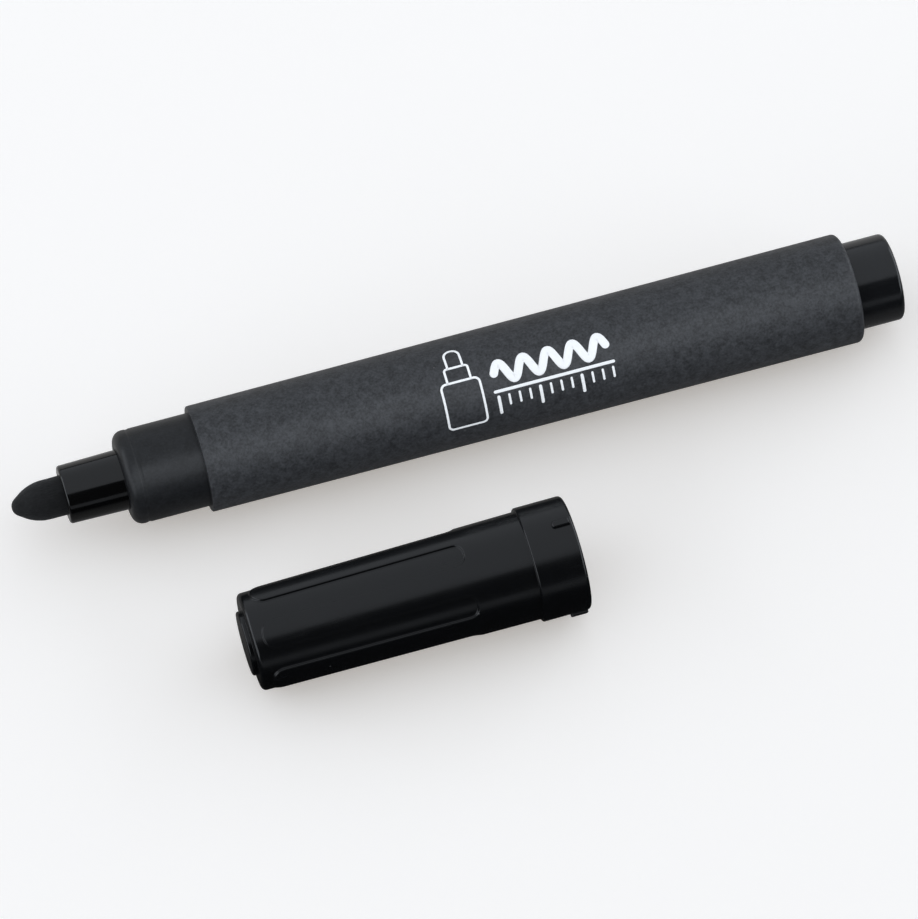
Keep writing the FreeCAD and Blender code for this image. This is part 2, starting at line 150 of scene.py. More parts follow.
def angle(label, meaning, degrees):
    """An angle property whose default is given in degrees."""
    return bpy.props.FloatProperty(
        name=label, description=meaning, default=math.radians(degrees),
        unit="ROTATION", subtype="ANGLE")


def colour(label, meaning, value):
    """A colour property, in linear light."""
    return bpy.props.FloatVectorProperty(
        name=label, description=meaning, default=value, size=3, min=0.0, max=1.0, subtype="COLOR")


def share(label, meaning, value):
    """A plain number between nothing and one."""
    return bpy.props.FloatProperty(
        name=label, description=meaning, default=value, min=0.0, max=1.0, subtype="FACTOR")


class MarkerSizes(bpy.types.PropertyGroup):
    """The marker's own details."""
    rim_round: length("Front rim", "Rounding of the barrel's front rim", 0.22)
    rear_round: length("Rear rim", "Rounding of the barrel's rear rim", 0.65)
    neck_length: length("Neck", "From the neck's front face to the barrel's rim", 10.2)
    neck_round: length("Neck shoulder", "Rounding at the front of the neck", 1.4)
    barrel_draft: length("Draft", "That the barrel grows in radius towards the rear", 0.25)
    wall: length("Wall", "Barrel's wall at its front rim", 1.05)
    groove_place: length("Groove place", "From the neck's front face to its groove", 1.75)
    groove_width: length("Groove width", "Over the groove's lips", 0.6)
    groove_depth: length("Groove depth", "Below the neck", 0.07)
    nozzle_radius: length("Nozzle", "Radius of the nozzle at its front edge", 3.81)
    nozzle_draft: length("Nozzle draft", "That the nozzle grows in radius", 0.14)
    nozzle_round: length("Nozzle edge", "Rounding of the nozzle's front edge", 0.35)
    vent_width: length("Vent width", "Air groove beside the nib", 0.7)
    vent_depth: length("Vent depth", "Air groove beside the nib", 0.35)
    nib_slope: angle("Point", "Slope of the point's flank", 35.0)
    nib_nose: length("Nose", "Radius at which the flank meets the tip's plane", 0.70)
    nib_nose_round: length("Nose rounding", "Rounding of the tip", 1.25)
    nib_flank_round: length("Flank rounding", "Rounding where the flank meets the rod", 5.7)
    fibre_height: length("Felt relief", "Height of the fibres on the felt", 0.014)
    stub_round: length("Stub edge", "Rounding of the end plug's rear edge", 0.6)
    rib_width: length("Rib", "Width of each rib inside the barrel", 0.8)


class CapSizes(bpy.types.PropertyGroup):
    """The cap's own details."""
    length: length("Length", "From the closed end's face to the mouth", 43.2)
    boss_radius: length("Disc", "Radius of the disc on the closed end", 4.2)
    end_round: length("End rounding", "Edge of the closed end", 0.6)
    land_start: length("Land start", "From the closed end to the lands", 1.4)
    land_radius: length("Land radius", "Radius of the lands at their closed end", 6.72)
    land_draft: length("Land draft", "That the lands grow in radius to the collar", 0.35)
    flute_depth: length("Flute depth", "Below the lands", 0.34)
    flute_reach: length("Flute reach", "From the closed end to the flutes' ends", 28.7)
    flute_angle: angle("Flute angle", "Angle that each flute takes up", 26.6)
    flute_corner: share("Flute corners", "Share of a flute's half width that its end rounds", 0.8)
    land_corner: share("Land corners", "Share of a land's half width that its end rounds", 0.92)
    foot_round: length("Flute foot", "Hollow rounding where a flute's wall meets its floor", 0.15)
    lip_round: length("Flute lip", "Rounding where a flute's wall meets a land", 0.18)
    roll: angle("Roll", "Angle about the axis to the first flute and nub", 82.5)
    collar_length: length("Collar", "Length of the collar", 6.4)
    collar_radius: length("Collar radius", "Radius of the collar", 7.49)
    collar_round: length("Collar edge", "Collar's inner edge", 0.25)
    mouth_round: length("Mouth edge", "Mouth's outer edge", 0.5)
    nub_height: length("Nub height", "Above the collar", 0.42)
    nub_length: length("Nub length", "Back from the mouth", 2.8)
    nub_width: length("Nub width", "Across", 0.95)


class Finishes(bpy.types.PropertyGroup):
    """Colours of the plastics, the felt and the ink."""
    charcoal: colour("Charcoal", "Grained plastic of the barrel", (0.0290, 0.0300, 0.0322))
    neck: colour("Neck", "Smooth plastic of the neck", (0.0082, 0.0088, 0.0098))
    gloss: colour("Gloss black", "Nozzle", (0.0018, 0.0019, 0.0021))
    plug: colour("Plug", "End plug", (0.0085, 0.0092, 0.0104))
    satin: colour("Satin black", "Cap", (0.0030, 0.0034, 0.0040))
    liner: colour("Liner", "Satin plastic of the cap's liner", (0.0100, 0.0106, 0.0116))
    felt: colour("Felt", "Ink-soaked felt of the nib", (0.0070, 0.0073, 0.0078))
    fibre: colour("Fibre", "Ink-soaked fibre of the reservoir", (0.0040, 0.0042, 0.0050))
    film: colour("Film", "Film round the reservoir", (0.60, 0.60, 0.62))
    ink: colour("Print", "White print on the barrel", (0.90, 0.90, 0.89))


class StageSizes(bpy.types.PropertyGroup):
    """Camera, floor and lights."""
    azimuth: angle("Azimuth", "Camera's turn round the object", -16.57)
    elevation: angle("Elevation", "Camera's height above the horizon", 63.3)
    distance: length("Distance", "From the camera to the point it looks at", 860.0)
    lens: bpy.props.FloatProperty(
        name="Lens", description="Focal length in millimetres", default=262.6, subtype="UNSIGNED")
    look_along: length("Look along", "The point looked at, from the nib's tip", 56.79)
    look_aside: length("Look aside", "The point looked at, from the marker to the cap", 9.56)
    floor: colour("Floor", "Pale floor", (0.86, 0.86, 0.86))


# ---------------------------------------------------------------------------------------
# Surfaces
# ---------------------------------------------------------------------------------------

ARC_STEP = math.radians(12)  # most that one step of a rounding turns
ARC_CHORD = 0.25 * MM  # longest step of a rounding
ARC_LEAST = 4  # steps of the smallest rounding
HOLD = 0.03 * MM  # how close the first point of a straight run stays to its end
LONGEST_RUN = 3.0 * MM  # longest step of a straight run
WELD = 0.001 * MM  # points closer than this are one
ROUND = 144  # steps round a turned piece


def unit(vector):
    """A vector over its length."""
    return vector / np.linalg.norm(vector)


def corner_arc(before, corner, after, rounding):
    """Points of the arc that touches both edges of a corner.

    With half the corner's angle h, the centre is rounding / sin(h) from the corner along the
    bisector, and the arc swings between its two spokes through half a turn less 2 h.
    """
    back, forth = unit(before - corner), unit(after - corner)
    half = math.acos(np.clip(back @ forth, -1, 1)) / 2
    centre = corner + unit(back + forth) * rounding / math.sin(half)
    first = corner + back * rounding / math.tan(half) - centre
    last = corner + forth * rounding / math.tan(half) - centre
    swing = math.pi - 2 * half
    steps = max(ARC_LEAST, math.ceil(swing / ARC_STEP), math.ceil(swing * rounding / ARC_CHORD))
    turn = np.linspace(0, swing, steps + 1)[:, None]
    return centre + (np.sin(swing - turn) * first + np.sin(turn) * last) / math.sin(swing)


def straight_run(start, end):
    """Points between the ends of a straight run: one held close to each end, and even steps."""
    span = np.linalg.norm(end - start)
    if span < 4 * HOLD:
        return np.empty((0, 2))
    steps = math.ceil(span / LONGEST_RUN)
    along = np.linspace(HOLD, span - HOLD, steps + 1) / span
    return start + along[:, None] * (end - start)


def outline(corners, closed=False):
    """An outline through corners of (along, out) or (along, out, rounding), as an array."""
    spots = [np.array(corner[:2], float) for corner in corners]
    count = len(spots)
    arcs = []
    for i, corner in enumerate(corners):
        if len(corner) == 3:
            arcs.append(corner_arc(spots[i - 1], spots[i], spots[(i + 1) % count], corner[2]))
        else:
            arcs.append(spots[i][None])
    points = []
    for i in range(count):
        points.append(arcs[i])
        if closed or i < count - 1:
            points.append(straight_run(arcs[i][-1], arcs[(i + 1) % count][0]))
    if closed:
        points.append(arcs[0][:1])
    return np.concatenate(points)


def spun(axis, along, out, turn):
    """Points at a distance along an axis, out from it, and an angle round it.

    start + along * direction + out * (cos(angle) * side + sin(angle) * up).
    """
    along, out, turn = np.broadcast_arrays(along, out, turn)
    return (axis.start + along[..., None] * axis.along
            + (out * np.cos(turn))[..., None] * axis.side
            + (out * np.sin(turn))[..., None] * axis.up)


def turned(axis, profile, turns=None):
    """A profile of (along, out) carried a full turn round an axis, as a grid of points."""
    if turns is None:
        turns = np.linspace(0, TURN, ROUND + 1)
    return spun(axis, profile[:, :1], profile[:, 1:], turns[None, :])


def grid_faces(shape, first):
    """Quads of a grid of points, or of a stack of them, as rows of four indices."""
    index = first + np.arange(math.prod(shape)).reshape(shape)
    corners = (index[..., :-1, :-1], index[..., 1:, :-1], index[..., 1:, 1:], index[..., :-1, 1:])
    return np.stack(corners, -1).reshape(-1, 4)


def make_piece(name, grids, body, finishes, nodes=()):
    """Weld grids into one closed mesh, give it its finishes and put it on its body.

    grids holds pairs of points and the number of their finish. Grids meet along shared
    points, which are welded, and the faces are then turned to point outwards.
    """
    points, faces, kinds, first = [], [], [], 0
    for grid, kind in grids:
        shape = grid.shape[:-1]
        quads = grid_faces(shape, first)
        points.append(grid.reshape(-1, 3))
        faces.append(quads)
        kinds.append(np.full(len(quads), kind))
        first += math.prod(shape)
    mesh = bpy.data.meshes.new(name)
    mesh.from_pydata(np.concatenate(points).tolist(), [], np.concatenate(faces).tolist())
    mesh.polygons.foreach_set("material_index", np.concatenate(kinds).astype(np.int32))
    work = bmesh.new()
    work.from_mesh(mesh)
    bmesh.ops.remove_doubles(work, verts=work.verts, dist=WELD)
    bmesh.ops.recalc_face_normals(work, faces=work.faces)
    if work.calc_volume(signed=True) < 0:
        bmesh.ops.reverse_faces(work, faces=work.faces)
    open_edges = sum(not edge.is_manifold for edge in work.edges)
    work.to_mesh(mesh)
    work.free()
    if open_edges:
        raise RuntimeError(f"{name} has {open_edges} open edges")
    mesh.shade_smooth()
    for finish in finishes:
        mesh.materials.append(finish)
    piece = bpy.data.objects.new(name, mesh)
    bpy.context.scene.collection.objects.link(piece)
    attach(piece, body)
    if nodes:
        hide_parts(*nodes)
    return piece


# ---------------------------------------------------------------------------------------
# Shader node groups and finishes
# ---------------------------------------------------------------------------------------

NOISE_RANGE = (0.3, 0.7)  # where most of a noise texture's values lie
GRAIN_RANGE = (0.36, 0.64)  # the same for the sum of two noises
SCRATCH_RANGE = (0.66, 0.74)  # where a noise is high enough to be a scratch
SCRATCH_ROUGHNESS = 0.05  # that a scratch adds
PIT_SHARE, COARSE_SHARE = 0.65, 0.35  # of the grain's height
COARSE_SCALE = 0.31  # of the coarse grain, against that of the pits
FIBRE_SHARE, CLUMP_SHARE = 0.7, 0.3  # of the felt's height
DUST_COLOUR = (0.16, 0.16, 0.155)


def fill(tree, socket, value):
    """Join a socket to another one, or set it to a value."""
    if isinstance(value, bpy.types.NodeSocket):
        tree.links.new(value, socket)
    else:
        socket.default_value = value


def add_node(tree, kind, inputs=None, **settings):
    """A node of a tree with its settings, and its inputs set to values or joined to sockets."""
    node = tree.nodes.new(kind)
    for name, value in settings.items():
        setattr(node, name, value)
    for name, value in (inputs or {}).items():
        fill(tree, node.inputs[name], value)
    return node


def noise(tree, vector, scale, detail=2.0, roughness=0.5):
    """Value of a noise texture at a scale, which is a number or a socket."""
    return add_node(tree, "ShaderNodeTexNoise", {
        "Vector": vector, "Scale": scale, "Detail": detail, "Roughness": roughness,
    }).outputs["Fac"]


def calculate(tree, operation, first, second=0.0):
    """One step of arithmetic on values or sockets."""
    node = add_node(tree, "ShaderNodeMath", operation=operation)
    for socket, value in zip(node.inputs, (first, second)):
        fill(tree, socket, value)
    return node.outputs["Value"]


def weighed(tree, first, first_share, second, second_share):
    """Sum of two values, each times its share."""
    return calculate(tree, "ADD", calculate(tree, "MULTIPLY", first, first_share),
                     calculate(tree, "MULTIPLY", second, second_share))


def spread(tree, value, given, wanted):
    """A value's given range, (low, high), stretched or squeezed into the wanted one."""
    return add_node(tree, "ShaderNodeMapRange", {
        "Value": value, "From Min": given[0], "From Max": given[1],
        "To Min": wanted[0], "To Max": wanted[1],
    }).outputs["Result"]


def new_group(name, inputs, outputs):
    """An empty shader node group with its sockets: (tree, input sockets, output node).

    Inputs are (label, kind, default) and outputs are labels of values.
    """
    tree = bpy.data.node_groups.new(name, "ShaderNodeTree")
    for label, kind, value in inputs:
        socket = tree.interface.new_socket(label, in_out="INPUT", socket_type=kind)
        if value is not None:
            socket.default_value = value
    for label in outputs:
        tree.interface.new_socket(label, in_out="OUTPUT", socket_type="NodeSocketFloat")
    entry = tree.nodes.new("NodeGroupInput")
    return tree, entry.outputs, tree.nodes.new("NodeGroupOutput")


def grain_group():
    """Skin of a moulding: fine pits from the tool's surface, and slow waves of the flow."""
    tree, given, result = new_group("Moulded skin", [
        ("Vector", "NodeSocketVector", None),
        ("Pit Scale", "NodeSocketFloat", 6000.0),
        ("Flow Scale", "NodeSocketFloat", 90.0),
        ("Flow", "NodeSocketFloat", 0.2),
    ], ["Height", "Pits", "Mottle"])
    pits = noise(tree, given["Vector"], given["Pit Scale"], 3.0, 0.6)
    coarse_scale = calculate(tree, "MULTIPLY", given["Pit Scale"], COARSE_SCALE)
    coarse = noise(tree, given["Vector"], coarse_scale, 1.0)
    grain = weighed(tree, pits, PIT_SHARE, coarse, COARSE_SHARE)
    flow = noise(tree, given["Vector"], given["Flow Scale"], 2.0)
    waves = calculate(tree, "MULTIPLY", flow, given["Flow"])
    tree.links.new(calculate(tree, "ADD", grain, waves), result.inputs["Height"])
    tree.links.new(grain, result.inputs["Pits"])
    tree.links.new(flow, result.inputs["Mottle"])
    return tree


def handling_group():
    """Traces of handling: hairline scratches along the piece, and sparse specks of dust."""
    tree, given, result = new_group("Handling", [
        ("Vector", "NodeSocketVector", None),
        ("Scratch Scale", "NodeSocketFloat", 900.0),
        ("Speck Scale", "NodeSocketFloat", 420.0),
        ("Speck Share", "NodeSocketFloat", 0.06),
    ], ["Scratches", "Specks", "Haze"])
    stretched = add_node(tree, "ShaderNodeMapping", {
        "Vector": given["Vector"], "Rotation": (0.0, 0.0, 0.35), "Scale": (0.12, 1.0, 1.0)})
    lines = noise(tree, stretched.outputs["Vector"], given["Scratch Scale"], 1.0)
    scratches = spread(tree, lines, SCRATCH_RANGE, (0.0, 1.0))
    cells = add_node(tree, "ShaderNodeTexVoronoi", {
        "Vector": given["Vector"], "Scale": given["Speck Scale"]}, feature="F1")
    specks = spread(tree, cells.outputs["Distance"], (given["Speck Share"], 0.0), (0.0, 1.0))
    patches = noise(tree, given["Vector"], 300.0)
    thinned = calculate(tree, "GREATER_THAN", patches, 0.56)
    haze = noise(tree, given["Vector"], 140.0, 3.0, 0.6)
    tree.links.new(scratches, result.inputs["Scratches"])
    tree.links.new(calculate(tree, "MULTIPLY", specks, thinned), result.inputs["Specks"])
    tree.links.new(haze, result.inputs["Haze"])
    return tree


def fibre_group():
    """Felt: fine fibres that lie along the rod, in clumps."""
    tree, given, result = new_group("Felt fibres", [
        ("Vector", "NodeSocketVector", None),
        ("Fibre Scale", "NodeSocketFloat", 5000.0),
        ("Clump Scale", "NodeSocketFloat", 900.0),
    ], ["Height", "Clumps"])
    lengthways = add_node(tree, "ShaderNodeMapping", {
        "Vector": given["Vector"], "Scale": (0.22, 1.0, 1.0)}).outputs["Vector"]
    fibres = noise(tree, lengthways, given["Fibre Scale"], 4.0, 0.7)
    clumps = noise(tree, given["Vector"], given["Clump Scale"], 3.0, 0.6)
    height = weighed(tree, fibres, FIBRE_SHARE, clumps, CLUMP_SHARE)
    tree.links.new(height, result.inputs["Height"])
    tree.links.new(clumps, result.inputs["Clumps"])
    return tree


def shared_group(name):
    """One of the node groups, built the first time that it is asked for."""
    makers = {"Moulded skin": grain_group, "Handling": handling_group, "Felt fibres": fibre_group}
    return bpy.data.node_groups.get(name) or makers[name]()


def place_group(tree, name, vector, **values):
    """A node group placed in a material, with its own values."""
    node = add_node(tree, "ShaderNodeGroup", node_tree=shared_group(name))
    tree.links.new(vector, node.inputs["Vector"])
    for label, value in values.items():
        node.inputs[label.replace("_", " ").title()].default_value = value
    return node.outputs


def new_finish(name, specular=0.5, sheen=0.0):
    """An empty material: (material, its tree, its Principled shader, object coordinates)."""
    finish = bpy.data.materials.new(name)
    finish.use_nodes = True
    tree = finish.node_tree
    shader = tree.nodes["Principled BSDF"]
    shader.inputs["Specular IOR Level"].default_value = specular
    shader.inputs["Sheen Weight"].default_value = sheen
    return finish, tree, shader, tree.nodes.new("ShaderNodeTexCoord").outputs["Object"]


def blend_colours(tree, mask, first, second):
    """Colour socket that runs from one colour to another by a mask. Each may be a socket."""
    node = add_node(tree, "ShaderNodeMix", {"Factor": mask}, data_type="RGBA")
    sockets = [socket for socket in node.inputs if socket.type == "RGBA"]
    for socket, value in zip(sockets, (first, second)):
        fill(tree, socket, value if isinstance(value, bpy.types.NodeSocket) else (*value, 1.0))
    return next(socket for socket in node.outputs if socket.type == "RGBA")


def shades(tree, mask, base, low, high):
    """Colour socket that runs from a dark to a light shade of a base colour, by a mask."""
    dark, light = ([channel * amount for channel in base] for amount in (low, high))
    return blend_colours(tree, mask, dark, light)


def blend_shaders(tree, mask, first, second, end):
    """Join two shaders to the end node: the first where the mask is nothing, else the second."""
    node = tree.nodes.new("ShaderNodeMixShader")
    for socket, value in zip(node.inputs, (mask, first, second)):
        tree.links.new(value, socket)
    tree.links.new(node.outputs["Shader"], tree.nodes[end].inputs["Surface"])


def bump(tree, shader, height, depth):
    """Relief of a given depth, joined to the shader's normal."""
    node = add_node(tree, "ShaderNodeBump", {
        "Height": height, "Distance": depth, "Strength": 1.0})
    tree.links.new(node.outputs["Normal"], shader.inputs["Normal"])


def moulded_finish(name, base, gloss, pits, flow, specks, specular=0.5, speckle=0.12):
    """A moulded plastic: gloss is its (low, high) roughness, pits its (scale, depth).

    Flow is the height of its slow waves, specks the strength of its dust, and speckle how far
    its colour strays from the base with the pits.
    """
    finish, tree, shader, vector = new_finish(name, specular)
    skin = place_group(tree, "Moulded skin", vector, pit_scale=pits[0], flow=flow)
    marks = place_group(tree, "Handling", vector)
    grains = spread(tree, skin["Pits"], GRAIN_RANGE, (0.0, 1.0))
    shade = shades(tree, grains, base, 1 - speckle, 1 + speckle)
    dust = calculate(tree, "MULTIPLY", marks["Specks"], specks)
    dusty = blend_colours(tree, dust, shade, DUST_COLOUR)
    tree.links.new(dusty, shader.inputs["Base Color"])
    smooth = spread(tree, marks["Haze"], NOISE_RANGE, gloss)
    scratched = calculate(tree, "MULTIPLY", marks["Scratches"], SCRATCH_ROUGHNESS)
    tree.links.new(calculate(tree, "ADD", smooth, scratched), shader.inputs["Roughness"])
    bump(tree, shader, skin["Height"], pits[1])
    return finish


def fibre_finish(name, base, scale, depth, sheen):
    """Felt or fibre soaked in ink: rough, darker between its clumps."""
    finish, tree, shader, vector = new_finish(name, 0.35, sheen=sheen)
    felt = place_group(tree, "Felt fibres", vector, fibre_scale=scale)
    tree.links.new(shades(tree, felt["Clumps"], base, 0.45, 1.5), shader.inputs["Base Color"])
    tree.links.new(spread(tree, felt["Height"], NOISE_RANGE, (0.95, 0.7)),
                   shader.inputs["Roughness"])
    bump(tree, shader, felt["Height"], depth)
    return finish


def finishes():
    """The colours that the user has set."""
    return bpy.context.scene.marker_finishes


def barrel_finish():
    """Charcoal plastic with the fine even grain of a spark-eroded tool."""
    return moulded_finish("Grained charcoal plastic", finishes().charcoal, (0.42, 0.52),
                          (3000.0, 0.07 * MM), 0.1, 0.5, specular=0.36, speckle=0.5)


def neck_finish():
    """The same plastic where the tool was polished, so that the cap slides on."""
    return moulded_finish("Smooth charcoal plastic", finishes().neck, (0.34, 0.44),
                          (3000.0, 0.030 * MM), 0.4, 1.0, specular=0.33, speckle=0.4)


def gloss_finish():
    """Glossy black plastic, with slow waves left by the flow of the melt."""
    existing = bpy.data.materials.get("Glossy black plastic")
    return existing or moulded_finish("Glossy black plastic", finishes().gloss, (0.10, 0.16),
                                      (2500.0, 0.0012 * MM), 1.2, 0.8)


def satin_finish():
    """Black plastic with a softer shine, which shows dust."""
    existing = bpy.data.materials.get("Satin black plastic")
    return existing or moulded_finish("Satin black plastic", finishes().satin, (0.19, 0.27),
                                      (2500.0, 0.002 * MM), 1.0, 1.0, specular=0.46)


def plug_finish():
    """The nozzle's black plastic, made a little lighter and less glossy."""
    return moulded_finish("Dark grey plug plastic", finishes().plug, (0.16, 0.24),
                          (2500.0, 0.002 * MM), 1.0, 0.8)


def liner_finish():
    """Satin plastic of the cap's liner."""
    return moulded_finish("Satin liner plastic", finishes().liner, (0.34, 0.44),
                          (5000.0, 0.004 * MM), 0.3, 0.3)


def ink_finish():
    """White printing ink, slightly uneven where it lies over the grain."""
    finish, tree, shader, vector = new_finish("White printing ink", 0.4)
    skin = place_group(tree, "Moulded skin", vector, pit_scale=7000.0, flow=0.0)
    tree.links.new(shades(tree, skin["Pits"], finishes().ink, 0.9, 1.05),
                   shader.inputs["Base Color"])
    tree.links.new(spread(tree, skin["Mottle"], NOISE_RANGE, (0.45, 0.6)),
                   shader.inputs["Roughness"])
    bump(tree, shader, skin["Height"], 0.006 * MM)
    return finish


def film_finish():
    """Clear crinkled film."""
    finish, tree, shader, vector = new_finish("Clear film", 0.5)
    shader.inputs["Transmission Weight"].default_value = 0.85
    shader.inputs["IOR"].default_value = 1.5
    skin = place_group(tree, "Moulded skin", vector, pit_scale=800.0, flow=0.8)
    tree.links.new(shades(tree, skin["Mottle"], finishes().film, 0.8, 1.1),
                   shader.inputs["Base Color"])
    tree.links.new(spread(tree, skin["Pits"], NOISE_RANGE, (0.12, 0.3)),
                   shader.inputs["Roughness"])
    bump(tree, shader, skin["Height"], 0.05 * MM)
    return finish


# ---------------------------------------------------------------------------------------
# The marker's pieces
# ---------------------------------------------------------------------------------------

FINE = 0.05 * MM  # rounding of an edge that is sharp to the touch
FIT = 0.03 * MM  # overlap or gap between surfaces that touch out of sight

NECK_FRONT_WALL = 1.6 * MM
BORE_STEP = 1.4 * MM  # from the barrel's rim back to the step in its bore
RIBS = 6
RIB_GAP = 0.3 * MM  # between the ribs and the end plug

NIB_PLAY = 0.02 * MM  # round the nib in the nozzle
CUP_START = 13.0 * MM  # from the nozzle's front to the cup for the reservoir
CUP_WALL = 1.05 * MM
VENTS = 3
VENT_SOFT = 0.25  # of a vent's half width, that its edge takes up
VENT_SPLITS = 8  # steps of its edge

NIB_TAIL = 2.6 * MM
NIB_SHOWN = 0.5 * MM  # felt that is detailed behind the nozzle's front
NIB_RINGS = 110
POINT_REACH = 1.6  # of the flank's length, up to which the profile keeps its own rings
FINE_RIPPLES = (24, 26, 70)  # how many, and the least and most waves in a turn
COARSE_RIPPLES = (8, 3, 9)
RIPPLE_LENGTH = 6 * MM
RIPPLE_HEIGHTS = (0.55, 0.8, -1.2)  # of the fine and the coarse ripples, and what is taken off
RELIEF_FADE = 1.2 * MM  # before the nozzle, where the felt's relief dies out
RELIEF_FULL = 1.6 * MM  # from the axis, where it is whole

PLUG_WALL = 1.3 * MM
PLUG_LEAD = 0.4 * MM
PLUG_SINK = 0.1 * MM  # of its shoulder below the barrel's rear rim
PLUG_END_WALL = 1.4 * MM


class FELTTIP_OT_barrel(bpy.types.Operator):
    """Barrel and neck: one tapered tube whose profile is turned about the marker's axis"""
    bl_idname = "felttip.barrel"
    bl_label = "Barrel and neck"

    def execute(self, context):
        sizes = context.scene.marker_sizes
        rim = NECK_START + sizes.neck_length
        front = BARREL_RADIUS - sizes.barrel_draft
        bore = front - sizes.wall
        hole = sizes.nozzle_radius + sizes.nozzle_draft + FIT
        groove = NECK_START + sizes.groove_place
        slope = sizes.groove_width / 3
        floor = NECK_RADIUS - sizes.groove_depth
        profile = outline([
            (NECK_START, hole, FINE),
            (NECK_START, NECK_RADIUS, sizes.neck_round),
            (groove, NECK_RADIUS, FINE),
            (groove + slope, floor, FINE),
            (groove + sizes.groove_width - slope, floor, FINE),
            (groove + sizes.groove_width, NECK_RADIUS, FINE),
            (rim, NECK_RADIUS, FINE),
            (rim, front, sizes.rim_round),
            (BARREL_END, BARREL_RADIUS, sizes.rear_round),
            (BARREL_END, bore, FINE),
            (rim + BORE_STEP, bore, FINE),
            (rim + BORE_STEP, FLANGE_RADIUS, FINE),
            (NECK_START + NECK_FRONT_WALL, FLANGE_RADIUS, FINE),
            (NECK_START + NECK_FRONT_WALL, hole, FINE),
        ], closed=True)
        along, out = profile.T
        edge = int(np.argmax((along > rim - HOLD) & (out > NECK_RADIUS + 2 * FINE)))
        inside = int(np.argmax((along > BARREL_END - FINE) & (out < bore + 2 * FINE)))
        grained, smooth = 0, 1
        grids = [
            (turned(MARKER, profile[:edge + 1]), smooth),
            (turned(MARKER, profile[edge:inside + 1]), grained),
            (turned(MARKER, profile[inside:]), smooth),
        ]
        make_piece("barrel_moulding", grids, "marker",
                   [barrel_finish(), neck_finish()], ["barrel"])
        return {"FINISHED"}


class FELTTIP_OT_ribs(bpy.types.Operator):
    """Ribs inside the barrel: bars at even angles, each a rounded box section carried along"""
    bl_idname = "felttip.ribs"
    bl_label = "Reservoir ribs"

    def execute(self, context):
        sizes = context.scene.marker_sizes
        _, _, core = reach("reservoir_wrap", MARKER)
        bore = BARREL_RADIUS - sizes.barrel_draft - sizes.wall
        start = NECK_START + sizes.neck_length + BORE_STEP
        end = PLUG_START - RIB_GAP
        half = sizes.rib_width / 2
        section = outline([
            (core, -half, FINE), (bore + FINE, -half), (bore + FINE, half), (core, half, FINE),
        ], closed=True)
        stations = np.array([start, start + HOLD, end - HOLD, end])
        middle = section.mean(0)
        share = np.array([0, 1, 1, 1, 1, 0])[:, None, None]
        rings = np.repeat(stations, [2, 1, 1, 2])[:, None, None]
        across = middle + (section - middle) * share
        grids = []
        for turn in np.arange(RIBS) * TURN / RIBS:
            out = across[..., 0] * math.cos(turn) - across[..., 1] * math.sin(turn)
            side = across[..., 0] * math.sin(turn) + across[..., 1] * math.cos(turn)
            bar = (MARKER.start + rings * MARKER.along
                   + out[..., None] * MARKER.side + side[..., None] * MARKER.up)
            grids.append((bar, 0))
        make_piece("reservoir_ribs", grids, "marker", [neck_finish()], ["barrel"])
        return {"FINISHED"}


def vent_turns(width, radius):
    """Angles round a bore with extra ones at the edges of its air grooves, and the grooves' mask.

    The mask is a smooth step that is one inside a groove and nothing outside it.
    """
    half = width / 2 / radius
    soft = half * VENT_SOFT
    edges = half + soft * np.linspace(-1, 1, VENT_SPLITS + 1)
    centres = np.arange(VENTS) * TURN / VENTS
    extra = (centres[:, None] + np.concatenate([-edges, edges])).ravel() % TURN
    turns = np.unique(np.concatenate([np.linspace(0, TURN, ROUND + 1), extra]))
    away = np.abs((turns[:, None] - centres + math.pi) % TURN - math.pi).min(1)
    step = np.clip((half + soft - away) / (2 * soft), 0, 1)
    return turns, step * step * (3 - 2 * step)


class FELTTIP_OT_nozzle(bpy.types.Operator):
    """Nozzle and flange: a turned profile whose bore is let out by three air grooves"""
    bl_idname = "felttip.nozzle"
    bl_label = "Nozzle"

    def execute(self, context):
        sizes = context.scene.marker_sizes
        bore = NIB_RADIUS + NIB_PLAY
        cup = NOZZLE_START + CUP_START
        cup_radius = FLANGE_RADIUS - CUP_WALL
        base = sizes.nozzle_radius + sizes.nozzle_draft
        flange = NECK_START + NECK_FRONT_WALL
        profile = outline([
            (NOZZLE_START, bore, FINE),
            (NOZZLE_START, sizes.nozzle_radius, sizes.nozzle_round),
            (NECK_START, base),
            (flange, base, FINE),
            (flange, FLANGE_RADIUS, FINE),
            (FLANGE_END, FLANGE_RADIUS, FINE),
            (FLANGE_END, cup_radius, FINE),
            (cup, cup_radius, FINE),
            (cup, bore, FINE),
        ], closed=True)
        turns, mask = vent_turns(sizes.vent_width, bore)
        in_bore = np.clip((bore + 2 * FINE - profile[:, 1]) / FINE, 0, 1)[:, None]
        out = profile[:, 1:] + in_bore * mask * sizes.vent_depth
        grid = spun(MARKER, profile[:, :1], out, turns)
        make_piece("nozzle_moulding", [(grid, 0)], "marker",
                   [gloss_finish()], ["nib_holder"])
        return {"FINISHED"}


def ripples(turns, along, count, low, high, rng):
    """Sum of waves of random direction and phase, periodic round the axis, of height about one.

    Each wave is sin(k * angle + w * along + phase), with a whole number k between low and high.
    """
    total = np.zeros(np.broadcast(turns, along).shape)
    around = rng.integers(low, high, count)
    lengthways = rng.normal(0, 1, count) * low / RIPPLE_LENGTH
    phases = rng.uniform(0, TURN, count)
    for k, w, phase in zip(around, lengthways, phases):
        total += np.sin(k * turns + w * along + phase)
    return total / math.sqrt(count)


